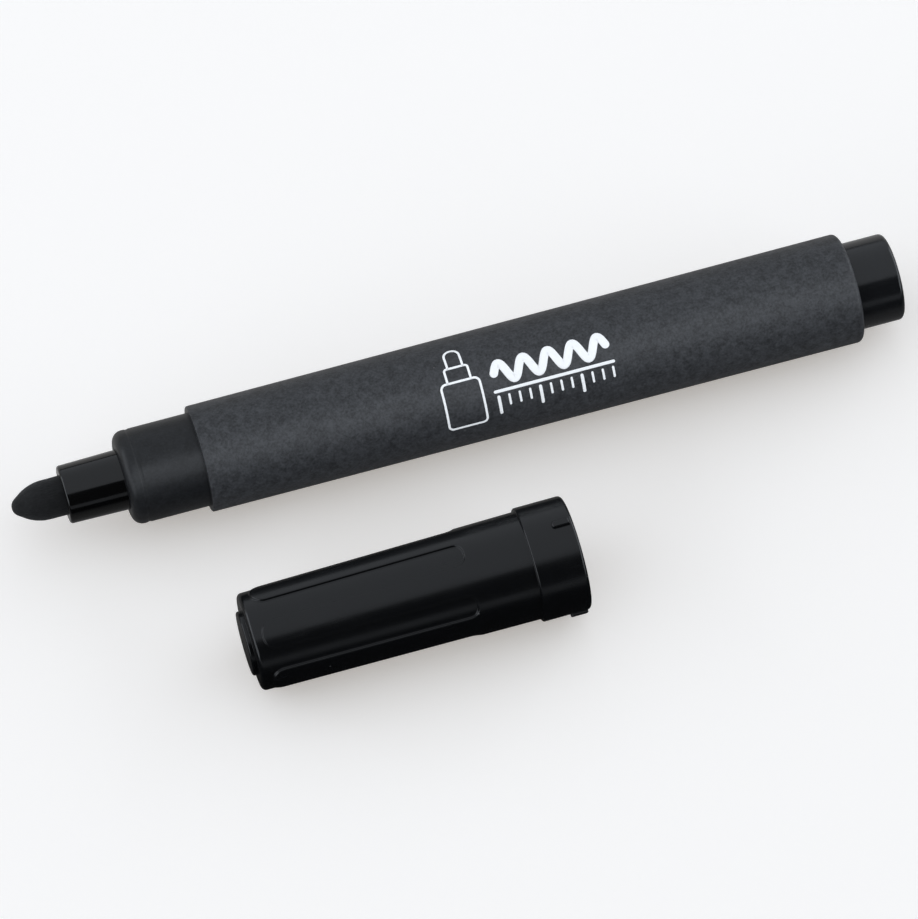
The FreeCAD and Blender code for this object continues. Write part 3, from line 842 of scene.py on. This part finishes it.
class FELTTIP_OT_nib(bpy.types.Operator):
    """Felt nib: a bullet profile turned about the axis, its skin lifted by fibre-like ripples"""
    bl_idname = "felttip.nib"
    bl_label = "Felt nib"

    def execute(self, context):
        sizes = context.scene.marker_sizes
        flank = (NIB_RADIUS - sizes.nib_nose) / math.tan(sizes.nib_slope)
        profile = outline([
            (NIB_START, 0),
            (NIB_START, sizes.nib_nose, sizes.nib_nose_round),
            (flank, NIB_RADIUS, sizes.nib_flank_round),
            (NIB_END - NIB_TAIL, NIB_RADIUS, FINE),
            (NIB_END, NIB_RADIUS / 2, FINE),
            (NIB_END, 0),
        ])
        exposed = NOZZLE_START + NIB_SHOWN
        steps = np.linspace(0, exposed, NIB_RINGS)
        out_at = np.interp(steps, profile[:, 0], profile[:, 1])
        front = profile[profile[:, 0] < flank * POINT_REACH]
        middle = np.stack([steps, out_at], 1)[steps > front[-1, 0] + HOLD]
        rest = profile[profile[:, 0] > exposed + HOLD]
        profile = np.concatenate([front, middle, rest])
        turns = np.linspace(0, TURN, 2 * ROUND + 1)
        rng = np.random.default_rng(SEED)
        along, out = profile[:, :1], profile[:, 1:]
        fine = ripples(turns, along, *FINE_RIPPLES, rng)
        coarse = ripples(turns, along, *COARSE_RIPPLES, rng)
        shown = np.clip((NOZZLE_START - along) / RELIEF_FADE, 0, 1)
        rounded = np.clip(out / RELIEF_FULL, 0, 1) ** 2
        of_fine, of_coarse, taken_off = RIPPLE_HEIGHTS
        skin = of_fine * fine + of_coarse * coarse + taken_off
        relief = sizes.fibre_height * shown * rounded * skin
        grid = spun(MARKER, along, out + relief, turns)
        felt = fibre_finish("Ink-soaked felt", finishes().felt, 4200.0, 0.07 * MM, 0.08)
        make_piece("felt_nib", [(grid, 0)], "marker", [felt], ["nib"])
        return {"FINISHED"}


class FELTTIP_OT_end_plug(bpy.types.Operator):
    """End plug: a hollow turned cup, its stub stepped in from the part inside the barrel"""
    bl_idname = "felttip.end_plug"
    bl_label = "End plug"

    def execute(self, context):
        sizes = context.scene.marker_sizes
        hollow = PLUG_RADIUS - PLUG_WALL
        shoulder = BARREL_END - PLUG_SINK
        floor = STUB_END - PLUG_END_WALL
        profile = outline([
            (floor, 0),
            (floor, hollow, 3 * FINE),
            (PLUG_START, hollow, FINE),
            (PLUG_START, PLUG_RADIUS - PLUG_LEAD, FINE),
            (PLUG_START + PLUG_LEAD, PLUG_RADIUS, FINE),
            (shoulder, PLUG_RADIUS, FINE),
            (shoulder, STUB_RADIUS, FINE),
            (STUB_END, STUB_RADIUS, sizes.stub_round),
            (STUB_END, 0),
        ])
        make_piece("end_plug_moulding", [(turned(MARKER, profile), 0)], "marker",
                   [plug_finish()], ["end_plug"])
        return {"FINISHED"}


class FELTTIP_OT_reservoir(bpy.types.Operator):
    """Reservoir: the fibre bundle and its film keep their solids and get their finishes"""
    bl_idname = "felttip.reservoir"
    bl_label = "Reservoir"

    def execute(self, context):
        fibre = fibre_finish("Ink-soaked fibre", finishes().fibre, 2500.0, 0.08 * MM, 0.1)
        for node, finish in (("reservoir_core", fibre), ("reservoir_wrap", film_finish())):
            piece = frame["nodes"][node]
            piece.data.materials.clear()
            piece.data.materials.append(finish)
        return {"FINISHED"}


# ---------------------------------------------------------------------------------------
# The print
# ---------------------------------------------------------------------------------------

PRINT_START = 55.6 * MM  # left edge, from the nib's tip
PRINT_MIDDLE = math.radians(116.7)  # its middle line's angle round the axis
INK_LIFT = 0.012 * MM  # of its face above the barrel
INK_DEPTH = 0.05 * MM
THIN, MEDIUM, BROAD = 0.3 * MM, 0.42 * MM, 1.1 * MM  # widths of its lines
STROKE_SPLITS = 6  # steps across a line
STROKE_STEP = 0.12 * MM  # longest step along a line
END_SPLITS = 6  # steps of a quarter of a round end

# The print's lines on the rolled-out skin, in millimetres: along, across and rounding.
PICTOGRAM_BODY = ((0.9, -5.2, 0.6), (6.0, -5.2, 0.6), (6.0, 1.2, 0.7), (0.9, 1.2, 0.7))
PICTOGRAM_NOZZLE = ((1.9, 1.2), (1.9, 3.2, 0.35), (5.0, 3.2, 0.35), (5.0, 1.2))
PICTOGRAM_POINT = ((2.45, 3.2), (2.45, 5.9, 0.95), (4.45, 5.9, 0.95), (4.45, 3.2))
RULE = ((7.6, -1.4), (23.4, -1.4))

WAVE_START, WAVE_SPAN, WAVE_MIDDLE, WAVE_SWING = 8.0 * MM, 14.9 * MM, 1.0 * MM, 1.25 * MM
WAVES = 4.5
WAVE_POINTS = 240

TICKS = 12
TICKS_START, TICK_GAP, TICK_TOP = 7.9 * MM, 1.39 * MM, -2.15 * MM
TICK_DROP, LONG_DROP = 1.3 * MM, 2.3 * MM
LONG_EVERY = 4  # ticks


def resampled(path, step):
    """A path's points at even distances along it."""
    gaps = np.linalg.norm(np.diff(path, axis=0), axis=1)
    travel = np.concatenate([[0], np.cumsum(gaps)])
    keep = np.concatenate([[True], gaps > 0])
    count = max(2, math.ceil(travel[-1] / step) + 1)
    at = np.linspace(0, travel[-1], count)
    return np.stack([np.interp(at, travel[keep], path[keep, i]) for i in (0, 1)], 1)


def stroke(path, width, closed):
    """A flat line of ink laid along a path on the barrel, as a closed grid.

    The path is (along, across) on the barrel's skin rolled out flat. A width is carried along
    its normals, and at each end of an open path the width follows a half circle. Then the strip
    is wrapped onto the barrel: along stays, and across over the radius is the angle round it.
    """
    path = resampled(path, STROKE_STEP)
    tangent = np.gradient(path, axis=0)
    if closed:
        ring = path[1] - path[-2]
        tangent[0], tangent[-1] = ring, ring
    tangent /= np.linalg.norm(tangent, axis=1)[:, None]
    normal = np.stack([-tangent[:, 1], tangent[:, 0]], 1)
    half = np.full(len(path), width / 2)
    if not closed:
        bend = np.linspace(0, math.pi / 2, END_SPLITS + 1)
        head = path[0] - np.outer(np.cos(bend), tangent[0]) * width / 2
        tail = path[-1] + np.outer(np.cos(bend[::-1]), tangent[-1]) * width / 2
        path = np.concatenate([head[:-1], path, tail[1:]])
        normal = np.pad(normal, ((END_SPLITS, END_SPLITS), (0, 0)), mode="edge")
        swell = np.sin(bend[:-1]) * width / 2
        half = np.concatenate([swell, half, swell[::-1]])
    spread_out = np.linspace(-1, 1, STROKE_SPLITS + 1)
    flat = path[:, None] + normal[:, None] * (half[:, None] * spread_out)[..., None]
    top = wrapped(flat, INK_LIFT)
    under = wrapped(flat[:, ::-1], INK_LIFT - INK_DEPTH)
    return np.concatenate([top, under, top[:, :1]], 1)


def wrapped(flat, lift):
    """Points of the rolled-out skin wrapped onto the tapering barrel, lifted off it."""
    sizes = bpy.context.scene.marker_sizes
    along = PRINT_START + flat[..., 0]
    rim = NECK_START + sizes.neck_length
    taper = sizes.barrel_draft / (BARREL_END - rim)
    radius = BARREL_RADIUS - (BARREL_END - along) * taper
    return spun(MARKER, along, radius + lift, PRINT_MIDDLE - flat[..., 1] / BARREL_RADIUS)


class FELTTIP_OT_print(bpy.types.Operator):
    """Print: a pictogram of a marker, a wavy sample line, a rule and a scale, with no lettering"""
    bl_idname = "felttip.print"
    bl_label = "Print"

    def execute(self, context):
        grids = [(stroke(*line), 0) for line in print_lines()]
        make_piece("barrel_print", grids, "marker", [ink_finish()])
        return {"FINISHED"}


def rolled_out(corners, closed):
    """An outline through corners that are given in millimetres."""
    return outline([np.array(corner) * MM for corner in corners], closed)


def print_lines():
    """The print's lines as (path, width, closed), in metres on the rolled-out skin.

    The wavy line is middle + swing * sin(a whole turn * waves * s), for s from 0 to 1.
    """
    lines = [
        (rolled_out(PICTOGRAM_BODY, True), THIN, True),
        (rolled_out(PICTOGRAM_NOZZLE, False), THIN, False),
        (rolled_out(PICTOGRAM_POINT, False), THIN, False),
    ]
    sweep = np.linspace(0, 1, WAVE_POINTS)
    height = WAVE_MIDDLE + WAVE_SWING * np.sin(TURN * WAVES * sweep)
    lines.append((np.stack([WAVE_START + WAVE_SPAN * sweep, height], 1), BROAD, False))
    lines.append((np.array(RULE) * MM, MEDIUM, False))
    for i in range(TICKS):
        place = TICKS_START + i * TICK_GAP
        drop, width = (TICK_DROP, THIN) if i % LONG_EVERY else (LONG_DROP, MEDIUM)
        tick = np.array([[place, TICK_TOP], [place, TICK_TOP - drop]])
        lines.append((tick, width, False))
    return lines


# ---------------------------------------------------------------------------------------
# The cap's pieces
# ---------------------------------------------------------------------------------------

FLUTES = 6
NUBS = 3
FLOOR_SPLITS = 12  # steps across a flute's floor
LAND_SPLITS = 20  # steps across a land
CORNER_SPLITS = 12  # steps of a flute's or a land's rounded corner
SIDE_SPLITS = 15  # steps of a flute's straight side
WALL_SPLITS = 6  # steps of each rounding of a flute's wall
SAME_TURN = 1e-6  # angles closer than this are one

BOSS_HEIGHT = 0.65 * MM  # of the disc on the closed end
BOSS_ROUND = 0.25 * MM
END_WALL = 1.2 * MM  # of the closed end
MOUTH_LEAD = 0.3 * MM
LINER_SEAT = 0.3 * MM  # of the mouth's bore past the liner
LINER_LEDGE = 0.55 * MM  # that the liner stands on

NUB_EDGE = 0.22 * MM
NUB_BACK = 0.8  # rounding of a nub's rear corners, as a share of half its width
NUB_SPLITS = 5  # steps of the rounding at its top

LINER_WALL = 0.9 * MM
LINER_FLOOR = 1.0 * MM
LIP_LENGTH = 1.6 * MM
LIP_PLAY = 0.04 * MM  # round the nozzle


def flute_path(sizes):
    """Half of one flute's edge, on the cap's skin rolled out flat, with its normals.

    The edge starts in the middle of a land's closed end, rounds the land's corner, runs along
    the flute's side, rounds the flute's corner and stops in the middle of the flute's end.
    Normals point to the flute's floor. Returns points, normals and the places in them of the
    land's and the flute's ends, which are where its corners start.
    """
    skin = sizes.land_radius - sizes.flute_depth
    pitch = TURN / FLUTES * skin
    side = sizes.flute_angle / 2 * skin
    flute_turn = side * sizes.flute_corner
    land_turn = (pitch / 2 - side) * sizes.land_corner
    bend = np.linspace(0, math.pi / 2, CORNER_SPLITS + 1)
    flat_land = np.linspace(-pitch / 2, -side - land_turn, LAND_SPLITS // 2 + 1)
    flat_flute = np.linspace(-side + flute_turn, 0, FLOOR_SPLITS // 2 + 1)
    start, end = sizes.land_start, sizes.flute_reach
    run = np.linspace(start + land_turn, end - flute_turn, SIDE_SPLITS + 1)
    land_arc = np.stack([start + land_turn * (1 - np.cos(bend)),
                         -side - land_turn * (1 - np.sin(bend))], 1)
    flute_arc = np.stack([end - flute_turn * (1 - np.sin(bend)),
                          -side + flute_turn * (1 - np.cos(bend))], 1)
    points = [
        np.stack([np.full_like(flat_land, start), flat_land], 1),
        land_arc[1:],
        np.stack([run[1:-1], np.full_like(run[1:-1], -side)], 1),
        flute_arc,
        np.stack([np.full_like(flat_flute[1:], end), flat_flute[1:]], 1),
    ]
    ahead, across = np.array([1.0, 0]), np.array([0, 1.0])
    normals = [
        np.repeat(-ahead[None], len(points[0]), 0),
        np.outer(-np.cos(bend), ahead)[1:] + np.outer(np.sin(bend), across)[1:],
        np.repeat(across[None], len(points[2]), 0),
        np.outer(-np.sin(bend), ahead) + np.outer(np.cos(bend), across),
        np.repeat(-ahead[None], len(points[4]), 0),
    ]
    first = len(points[0]) - 1
    last = first + len(points[1]) + len(points[2]) + len(points[3])
    return np.concatenate(points), np.concatenate(normals), first, last


def wall_section(sizes):
    """The flute's wall seen end on, as (distance towards the floor, height above it)."""
    foot, lip, depth = sizes.foot_round, sizes.lip_round, sizes.flute_depth
    bend = np.linspace(0, math.pi / 2, WALL_SPLITS + 1)
    low = np.stack([foot * (1 - np.sin(bend)), foot * (1 - np.cos(bend))], 1)
    high = np.stack([-lip * (1 - np.cos(bend)), depth - lip * (1 - np.sin(bend))], 1)
    return np.concatenate([low, high])


class FELTTIP_OT_cap(bpy.types.Operator):
    """Cap: fluted sleeve whose wavy edge between lands and flutes carries a rounded wall"""
    bl_idname = "felttip.cap"
    bl_label = "Cap"

    def execute(self, context):
        sizes = context.scene.cap_sizes
        axis = cap_axis(sizes.length)
        skin = sizes.land_radius - sizes.flute_depth
        pitch = TURN / FLUTES
        collar = sizes.length - sizes.collar_length
        taper = sizes.land_draft / (collar - sizes.land_start)

        def laid(flat, height):
            """Rolled-out points put round the cap, once for each flute."""
            turn = flat[..., 1] / skin + sizes.roll
            out = skin + (flat[..., 0] - sizes.land_start) * taper + height
            turns = turn + (np.arange(FLUTES) * pitch).reshape((-1,) + (1,) * turn.ndim)
            return spun(axis, flat[..., 0], out, turns)

        edge, normal, first, last = flute_path(sizes)
        section = wall_section(sizes)
        strip = edge[:, None] + normal[:, None] * section[None, :, :1]
        mirror = np.array([1.0, -1.0])
        walls = [laid(strip, section[:, 1]), laid(strip * mirror, section[:, 1])]

        floor_edge = strip[first:last + 1, 0]
        land_edge = strip[first:last + 1, -1]
        across = np.linspace(-1, 1, FLOOR_SPLITS + 1)
        floor = np.stack(np.broadcast_arrays(
            floor_edge[:, :1], -floor_edge[:, 1:] * across), -1)
        middle = -pitch * skin / 2
        over = np.linspace(-1, 1, LAND_SPLITS + 1)
        land = np.stack(np.broadcast_arrays(
            land_edge[:, :1], middle + (land_edge[:, 1:] - middle) * over), -1)
        grids = walls + [laid(floor, 0.0), laid(land, sizes.flute_depth)]

        closed_end = self.closed_end(sizes, skin, taper, floor_edge[0, 0])
        end_turns = self.round_turns(sizes, skin, floor[0, :, 1], strip[:first + 1, 0, 1])
        open_end = self.open_end(sizes, collar, taper, land_edge[-1, 0])
        mouth_turns = self.round_turns(sizes, skin, land[-1, :, 1], strip[last:, -1, 1])
        grids.append(turned(axis, closed_end, end_turns))
        grids.append(turned(axis, open_end, mouth_turns))
        grids.append(turned(axis, self.inside(sizes), mouth_turns))
        make_piece("cap_moulding", [(grid, 0) for grid in grids], "cap",
                   [satin_finish()], ["cap_shell"])
        return {"FINISHED"}

    def round_turns(self, sizes, skin, wide, narrow):
        """Angles of every column where the fluted part meets a plain turned part."""
        steps = np.concatenate([wide, narrow, -narrow]) / skin
        everywhere = steps[:, None] + np.arange(FLUTES) * TURN / FLUTES + sizes.roll
        turns = np.sort(everywhere.ravel() % TURN)
        turns = turns[np.concatenate([[True], np.diff(turns) > SAME_TURN])]
        return np.concatenate([turns, turns[:1] + TURN])

    def closed_end(self, sizes, skin, taper, stop):
        """Profile from the middle of the disc, over the end's edge, to the lands."""
        return outline([
            (-BOSS_HEIGHT, 0),
            (-BOSS_HEIGHT, sizes.boss_radius, BOSS_ROUND),
            (0, sizes.boss_radius, FINE),
            (0, skin - sizes.land_start * taper, sizes.end_round),
            (stop, skin + (stop - sizes.land_start) * taper),
        ])

    def open_end(self, sizes, collar, taper, stop):
        """Profile from the flutes' ends, over the collar, to the lead inside the mouth."""
        land = sizes.land_radius
        return outline([
            (stop, land + (stop - sizes.land_start) * taper),
            (collar, land + sizes.land_draft, FINE),
            (collar, sizes.collar_radius, sizes.collar_round),
            (sizes.length, sizes.collar_radius, sizes.mouth_round),
            (sizes.length, MOUTH_RADIUS + MOUTH_LEAD),
        ])

    def inside(self, sizes):
        """Profile from the mouth's lead, down the bores, to the middle of the closed end."""
        first, last, liner = reach("cap_liner", cap_axis(sizes.length))
        seat = last + LINER_SEAT
        ledge = liner - LINER_LEDGE
        return outline([
            (sizes.length, MOUTH_RADIUS + MOUTH_LEAD),
            (sizes.length - MOUTH_LEAD, MOUTH_RADIUS, FINE),
            (seat, MOUTH_RADIUS, FINE),
            (seat, liner, FINE),
            (first, liner, FINE),
            (first, ledge, FINE),
            (END_WALL, ledge, 4 * FINE),
            (END_WALL, 0),
        ])


class FELTTIP_OT_nubs(bpy.types.Operator):
    """Nubs on the collar: keys whose rounded outline shrinks ring by ring to their top"""
    bl_idname = "felttip.nubs"
    bl_label = "Collar nubs"

    def execute(self, context):
        sizes = context.scene.cap_sizes
        axis = cap_axis(sizes.length)
        half = sizes.nub_width / 2
        back, front = sizes.length - sizes.nub_length, sizes.length - sizes.mouth_round
        ring = outline([(back, -half, half * NUB_BACK), (front, -half, FINE),
                        (front, half, FINE), (back, half, half * NUB_BACK)], closed=True)
        spine = np.stack([np.clip(ring[:, 0], back + half, front - half),
                          np.zeros(len(ring))], 1)
        bend = np.linspace(0, math.pi / 2, NUB_SPLITS + 1)
        inset = np.concatenate([[half, 0], NUB_EDGE * (1 - np.cos(bend)), [half * 0.6, half]])
        top = sizes.nub_height
        lift = np.concatenate([[-top, -top], top - NUB_EDGE * (1 - np.sin(bend)), [top, top]])
        shrink = np.clip(1 - inset / half, 0, 1)[:, None, None]
        flat = spine + (ring - spine) * shrink
        grids = []
        for turn in sizes.roll + np.arange(NUBS) * TURN / NUBS:
            turns = turn + flat[..., 1] / sizes.collar_radius
            out = sizes.collar_radius + lift[:, None]
            grids.append((spun(axis, flat[..., 0], out, turns), 0))
        make_piece("cap_nubs", grids, "cap", [satin_finish()], ["cap_shell"])
        return {"FINISHED"}


class FELTTIP_OT_liner(bpy.types.Operator):
    """Cap liner: a turned cup with a thicker sealing lip"""
    bl_idname = "felttip.liner"
    bl_label = "Cap liner"

    def execute(self, context):
        sizes = context.scene.marker_sizes
        axis = cap_axis(context.scene.cap_sizes.length)
        back, front, outer = reach("cap_liner", axis)
        lip = sizes.nozzle_radius + sizes.nozzle_draft + LIP_PLAY
        wall = outer - LINER_WALL
        lip_end = front - LIP_LENGTH
        floor = back + LINER_FLOOR
        profile = outline([
            (back, 0),
            (back, outer, FINE),
            (front, outer, FINE),
            (front, lip, 2 * FINE),
            (lip_end, lip, 2 * FINE),
            (lip_end - (wall - lip), wall, FINE),
            (floor, wall, 4 * FINE),
            (floor, 0),
        ])
        make_piece("cap_liner_cup", [(turned(axis, profile), 0)], "cap",
                   [liner_finish()], ["cap_liner"])
        return {"FINISHED"}


# ---------------------------------------------------------------------------------------
# The stage
# ---------------------------------------------------------------------------------------

# Soft panels: name, azimuth and elevation in degrees as seen from the object, distance,
# width, height, and light in watts.
PANELS = (
    ("sky_panel", 180.0, 62.0, 0.70, 1.8, 2.08, 7.6),
    ("front_panel", 0.0, 7.0, 0.60, 1.2, 0.15, 0.16),
    ("left_panel", -88.0, 20.0, 0.80, 1.5, 0.50, 4.5),
    ("right_panel", 88.0, 20.0, 0.80, 1.5, 0.50, 4.5),
    ("key_panel", 14.0, 56.0, 0.70, 1.4, 0.60, 3.9),
)
PANEL_COLOUR = (0.93, 0.985, 1.06)
KEY_RECEIVERS = ("barrel_moulding", "barrel_print")  # all that the key panel lights

FLOOR_RADIUS = 3.0
FLOOR_RINGS, FLOOR_SPOKES = 24, 64
FLOOR_GLOW = (0.34, 0.315, 0.285)  # light that the floor adds for the camera alone
FLOOR_ROUGHNESS = 0.8
# Brightness of the floor in gloss, as sums of ramps across it: places, then brightness there. This
# is a painted reflection: painted shade, darkest towards -y and paler towards +y.
PAINTED_REFLECTION_RAMPS = (((-16 * MM, -2 * MM), (0.01, 0.14)), ((8 * MM, 26 * MM), (0.0, 0.32)))
SURROUNDINGS_DIM, SURROUNDINGS_PALE = 0.03, 0.92  # to the object, and to the camera


def aim(item, target, azimuth, elevation, distance):
    """Put a camera or a light at an azimuth and elevation from a point, looking at it."""
    back = Vector((math.sin(azimuth) * math.cos(elevation),
                   -math.cos(azimuth) * math.cos(elevation),
                   math.sin(elevation)))
    item.location = target + back * distance
    item.rotation_euler = (-back).to_track_quat("-Z", "Y").to_euler()


class FELTTIP_OT_stage(bpy.types.Operator):
    """Stage: pale floor, soft panels, pale surroundings and the camera"""
    bl_idname = "felttip.stage"
    bl_label = "Floor, lights and camera"

    def execute(self, context):
        sizes = context.scene.stage_sizes
        self.make_floor(sizes)
        self.make_world()
        centre = Vector(((CAD_BOX[0].x + CAD_BOX[1].x) / 2, 0, 0))
        for name, azimuth, elevation, distance, width, height, watts in PANELS:
            light = bpy.data.lights.new(name, "AREA")
            light.shape = "RECTANGLE"
            light.size, light.size_y = width, height
            light.energy = watts
            light.color = PANEL_COLOUR
            panel = bpy.data.objects.new(name, light)
            panel.visible_camera = False
            context.scene.collection.objects.link(panel)
            aim(panel, centre, math.radians(azimuth), math.radians(elevation), distance)
        self.link_key(bpy.data.objects["key_panel"])
        self.make_camera(context.scene, sizes)
        context.scene.view_settings.view_transform = "Standard"
        return {"FINISHED"}

    def link_key(self, panel):
        """Let the key panel light the grained barrel and its print only."""
        receivers = bpy.data.collections.new("lit_by_key")
        for name in KEY_RECEIVERS:
            receivers.objects.link(bpy.data.objects[name])
        panel.light_linking.receiver_collection = receivers

    def make_floor(self, sizes):
        """A wide disc under the object: radius and angle on a grid, closed at its middle."""
        radii = np.linspace(0, 1.0, FLOOR_RINGS)[:, None] ** 2 * FLOOR_RADIUS
        turns = np.linspace(0, TURN, FLOOR_SPOKES + 1)
        points = np.stack(np.broadcast_arrays(
            radii * np.cos(turns), radii * np.sin(turns), 0.0), -1)
        mesh = bpy.data.meshes.new("floor")
        faces = grid_faces(points.shape[:-1], 0)
        mesh.from_pydata(points.reshape(-1, 3).tolist(), [], faces.tolist())
        mesh.materials.append(self.floor_finish(sizes))
        floor = bpy.data.objects.new("floor", mesh)
        bpy.context.scene.collection.objects.link(floor)

    def floor_finish(self, sizes):
        """Pale paint that glows a little for the camera, and in the gloss shows a painted
        reflection: ramps of painted shade by place.
        """
        finish, tree, shader, vector = new_finish("Pale floor", 0.2)
        cloudy = noise(tree, vector, 3.0)
        tree.links.new(shades(tree, cloudy, sizes.floor, 0.99, 1.01), shader.inputs["Base Color"])
        shader.inputs["Roughness"].default_value = FLOOR_ROUGHNESS
        path = tree.nodes.new("ShaderNodeLightPath").outputs
        glow = blend_colours(tree, path["Is Camera Ray"], (0.0, 0.0, 0.0), FLOOR_GLOW)
        tree.links.new(glow, shader.inputs["Emission Color"])
        shader.inputs["Emission Strength"].default_value = 1.0
        # Painted reflection: glossy rays see an emission ramp of painted shade by place instead of
        # the lit floor.
        place = add_node(tree, "ShaderNodeSeparateXYZ", {"Vector": vector}).outputs["Y"]
        ramps = [spread(tree, place, places, brightness) for places, brightness in PAINTED_REFLECTION_RAMPS]
        painted_reflection = add_node(tree, "ShaderNodeEmission", {
            "Strength": calculate(tree, "ADD", *ramps)})
        blend_shaders(tree, path["Is Glossy Ray"], shader.outputs["BSDF"],
                      painted_reflection.outputs["Emission"], "Material Output")
        return finish

    def make_world(self):
        """Pale surroundings to the eye, and dim ones to the object."""
        world = bpy.data.worlds.new("Studio")
        world.use_nodes = True
        tree = world.node_tree
        dim = tree.nodes["Background"]
        dim.inputs["Color"].default_value = (1.0, 1.0, 1.0, 1.0)
        dim.inputs["Strength"].default_value = SURROUNDINGS_DIM
        pale = add_node(tree, "ShaderNodeBackground", {
            "Color": (1, 1, 1, 1), "Strength": SURROUNDINGS_PALE})
        path = tree.nodes.new("ShaderNodeLightPath")
        blend_shaders(tree, path.outputs["Is Camera Ray"], dim.outputs["Background"],
                      pale.outputs["Background"], "World Output")
        bpy.context.scene.world = world

    def make_camera(self, scene, sizes):
        """A long lens that looks down at the marker and its cap."""
        lens = bpy.data.cameras.new("camera")
        lens.lens = sizes.lens
        camera = bpy.data.objects.new("camera", lens)
        scene.collection.objects.link(camera)
        target = Vector(MARKER.start) + Vector((sizes.look_along, -sizes.look_aside, 0))
        aim(camera, target, sizes.azimuth, sizes.elevation, sizes.distance)
        scene.camera = camera


# ---------------------------------------------------------------------------------------
# Panel and registration
# ---------------------------------------------------------------------------------------

BUILDERS = (
    FELTTIP_OT_barrel, FELTTIP_OT_ribs, FELTTIP_OT_nozzle, FELTTIP_OT_nib, FELTTIP_OT_end_plug,
    FELTTIP_OT_reservoir, FELTTIP_OT_print, FELTTIP_OT_cap, FELTTIP_OT_nubs, FELTTIP_OT_liner,
    FELTTIP_OT_stage,
)
GROUPS = {
    "marker_sizes": MarkerSizes, "cap_sizes": CapSizes,
    "marker_finishes": Finishes, "stage_sizes": StageSizes,
}


class FELTTIP_PT_marker(bpy.types.Panel):
    """Sizes, colours and builders of the marker"""
    bl_idname = "FELTTIP_PT_marker"
    bl_label = "Felt tip marker"
    bl_space_type = "VIEW_3D"
    bl_region_type = "UI"
    bl_category = "Marker"

    def draw(self, context):
        for builder in BUILDERS:
            self.layout.operator(builder.bl_idname)
        for name, group in GROUPS.items():
            box = self.layout.box()
            box.label(text=group.__doc__)
            for entry in group.__annotations__:
                box.prop(getattr(context.scene, name), entry)


def register():
    """Make the classes and the scene's settings known to Blender."""
    for item in (*GROUPS.values(), *BUILDERS, FELTTIP_PT_marker):
        bpy.utils.register_class(item)
    for name, group in GROUPS.items():
        setattr(bpy.types.Scene, name, bpy.props.PointerProperty(type=group))


def unregister():
    """Take them away again."""
    for name in GROUPS:
        delattr(bpy.types.Scene, name)
    for item in reversed((*GROUPS.values(), *BUILDERS, FELTTIP_PT_marker)):
        bpy.utils.unregister_class(item)


def main():
    """Register, and build every piece in turn."""
    register()
    for builder in BUILDERS:
        group, name = builder.bl_idname.split(".")
        getattr(getattr(bpy.ops, group), name)()


if __name__ == "__main__":
    main()
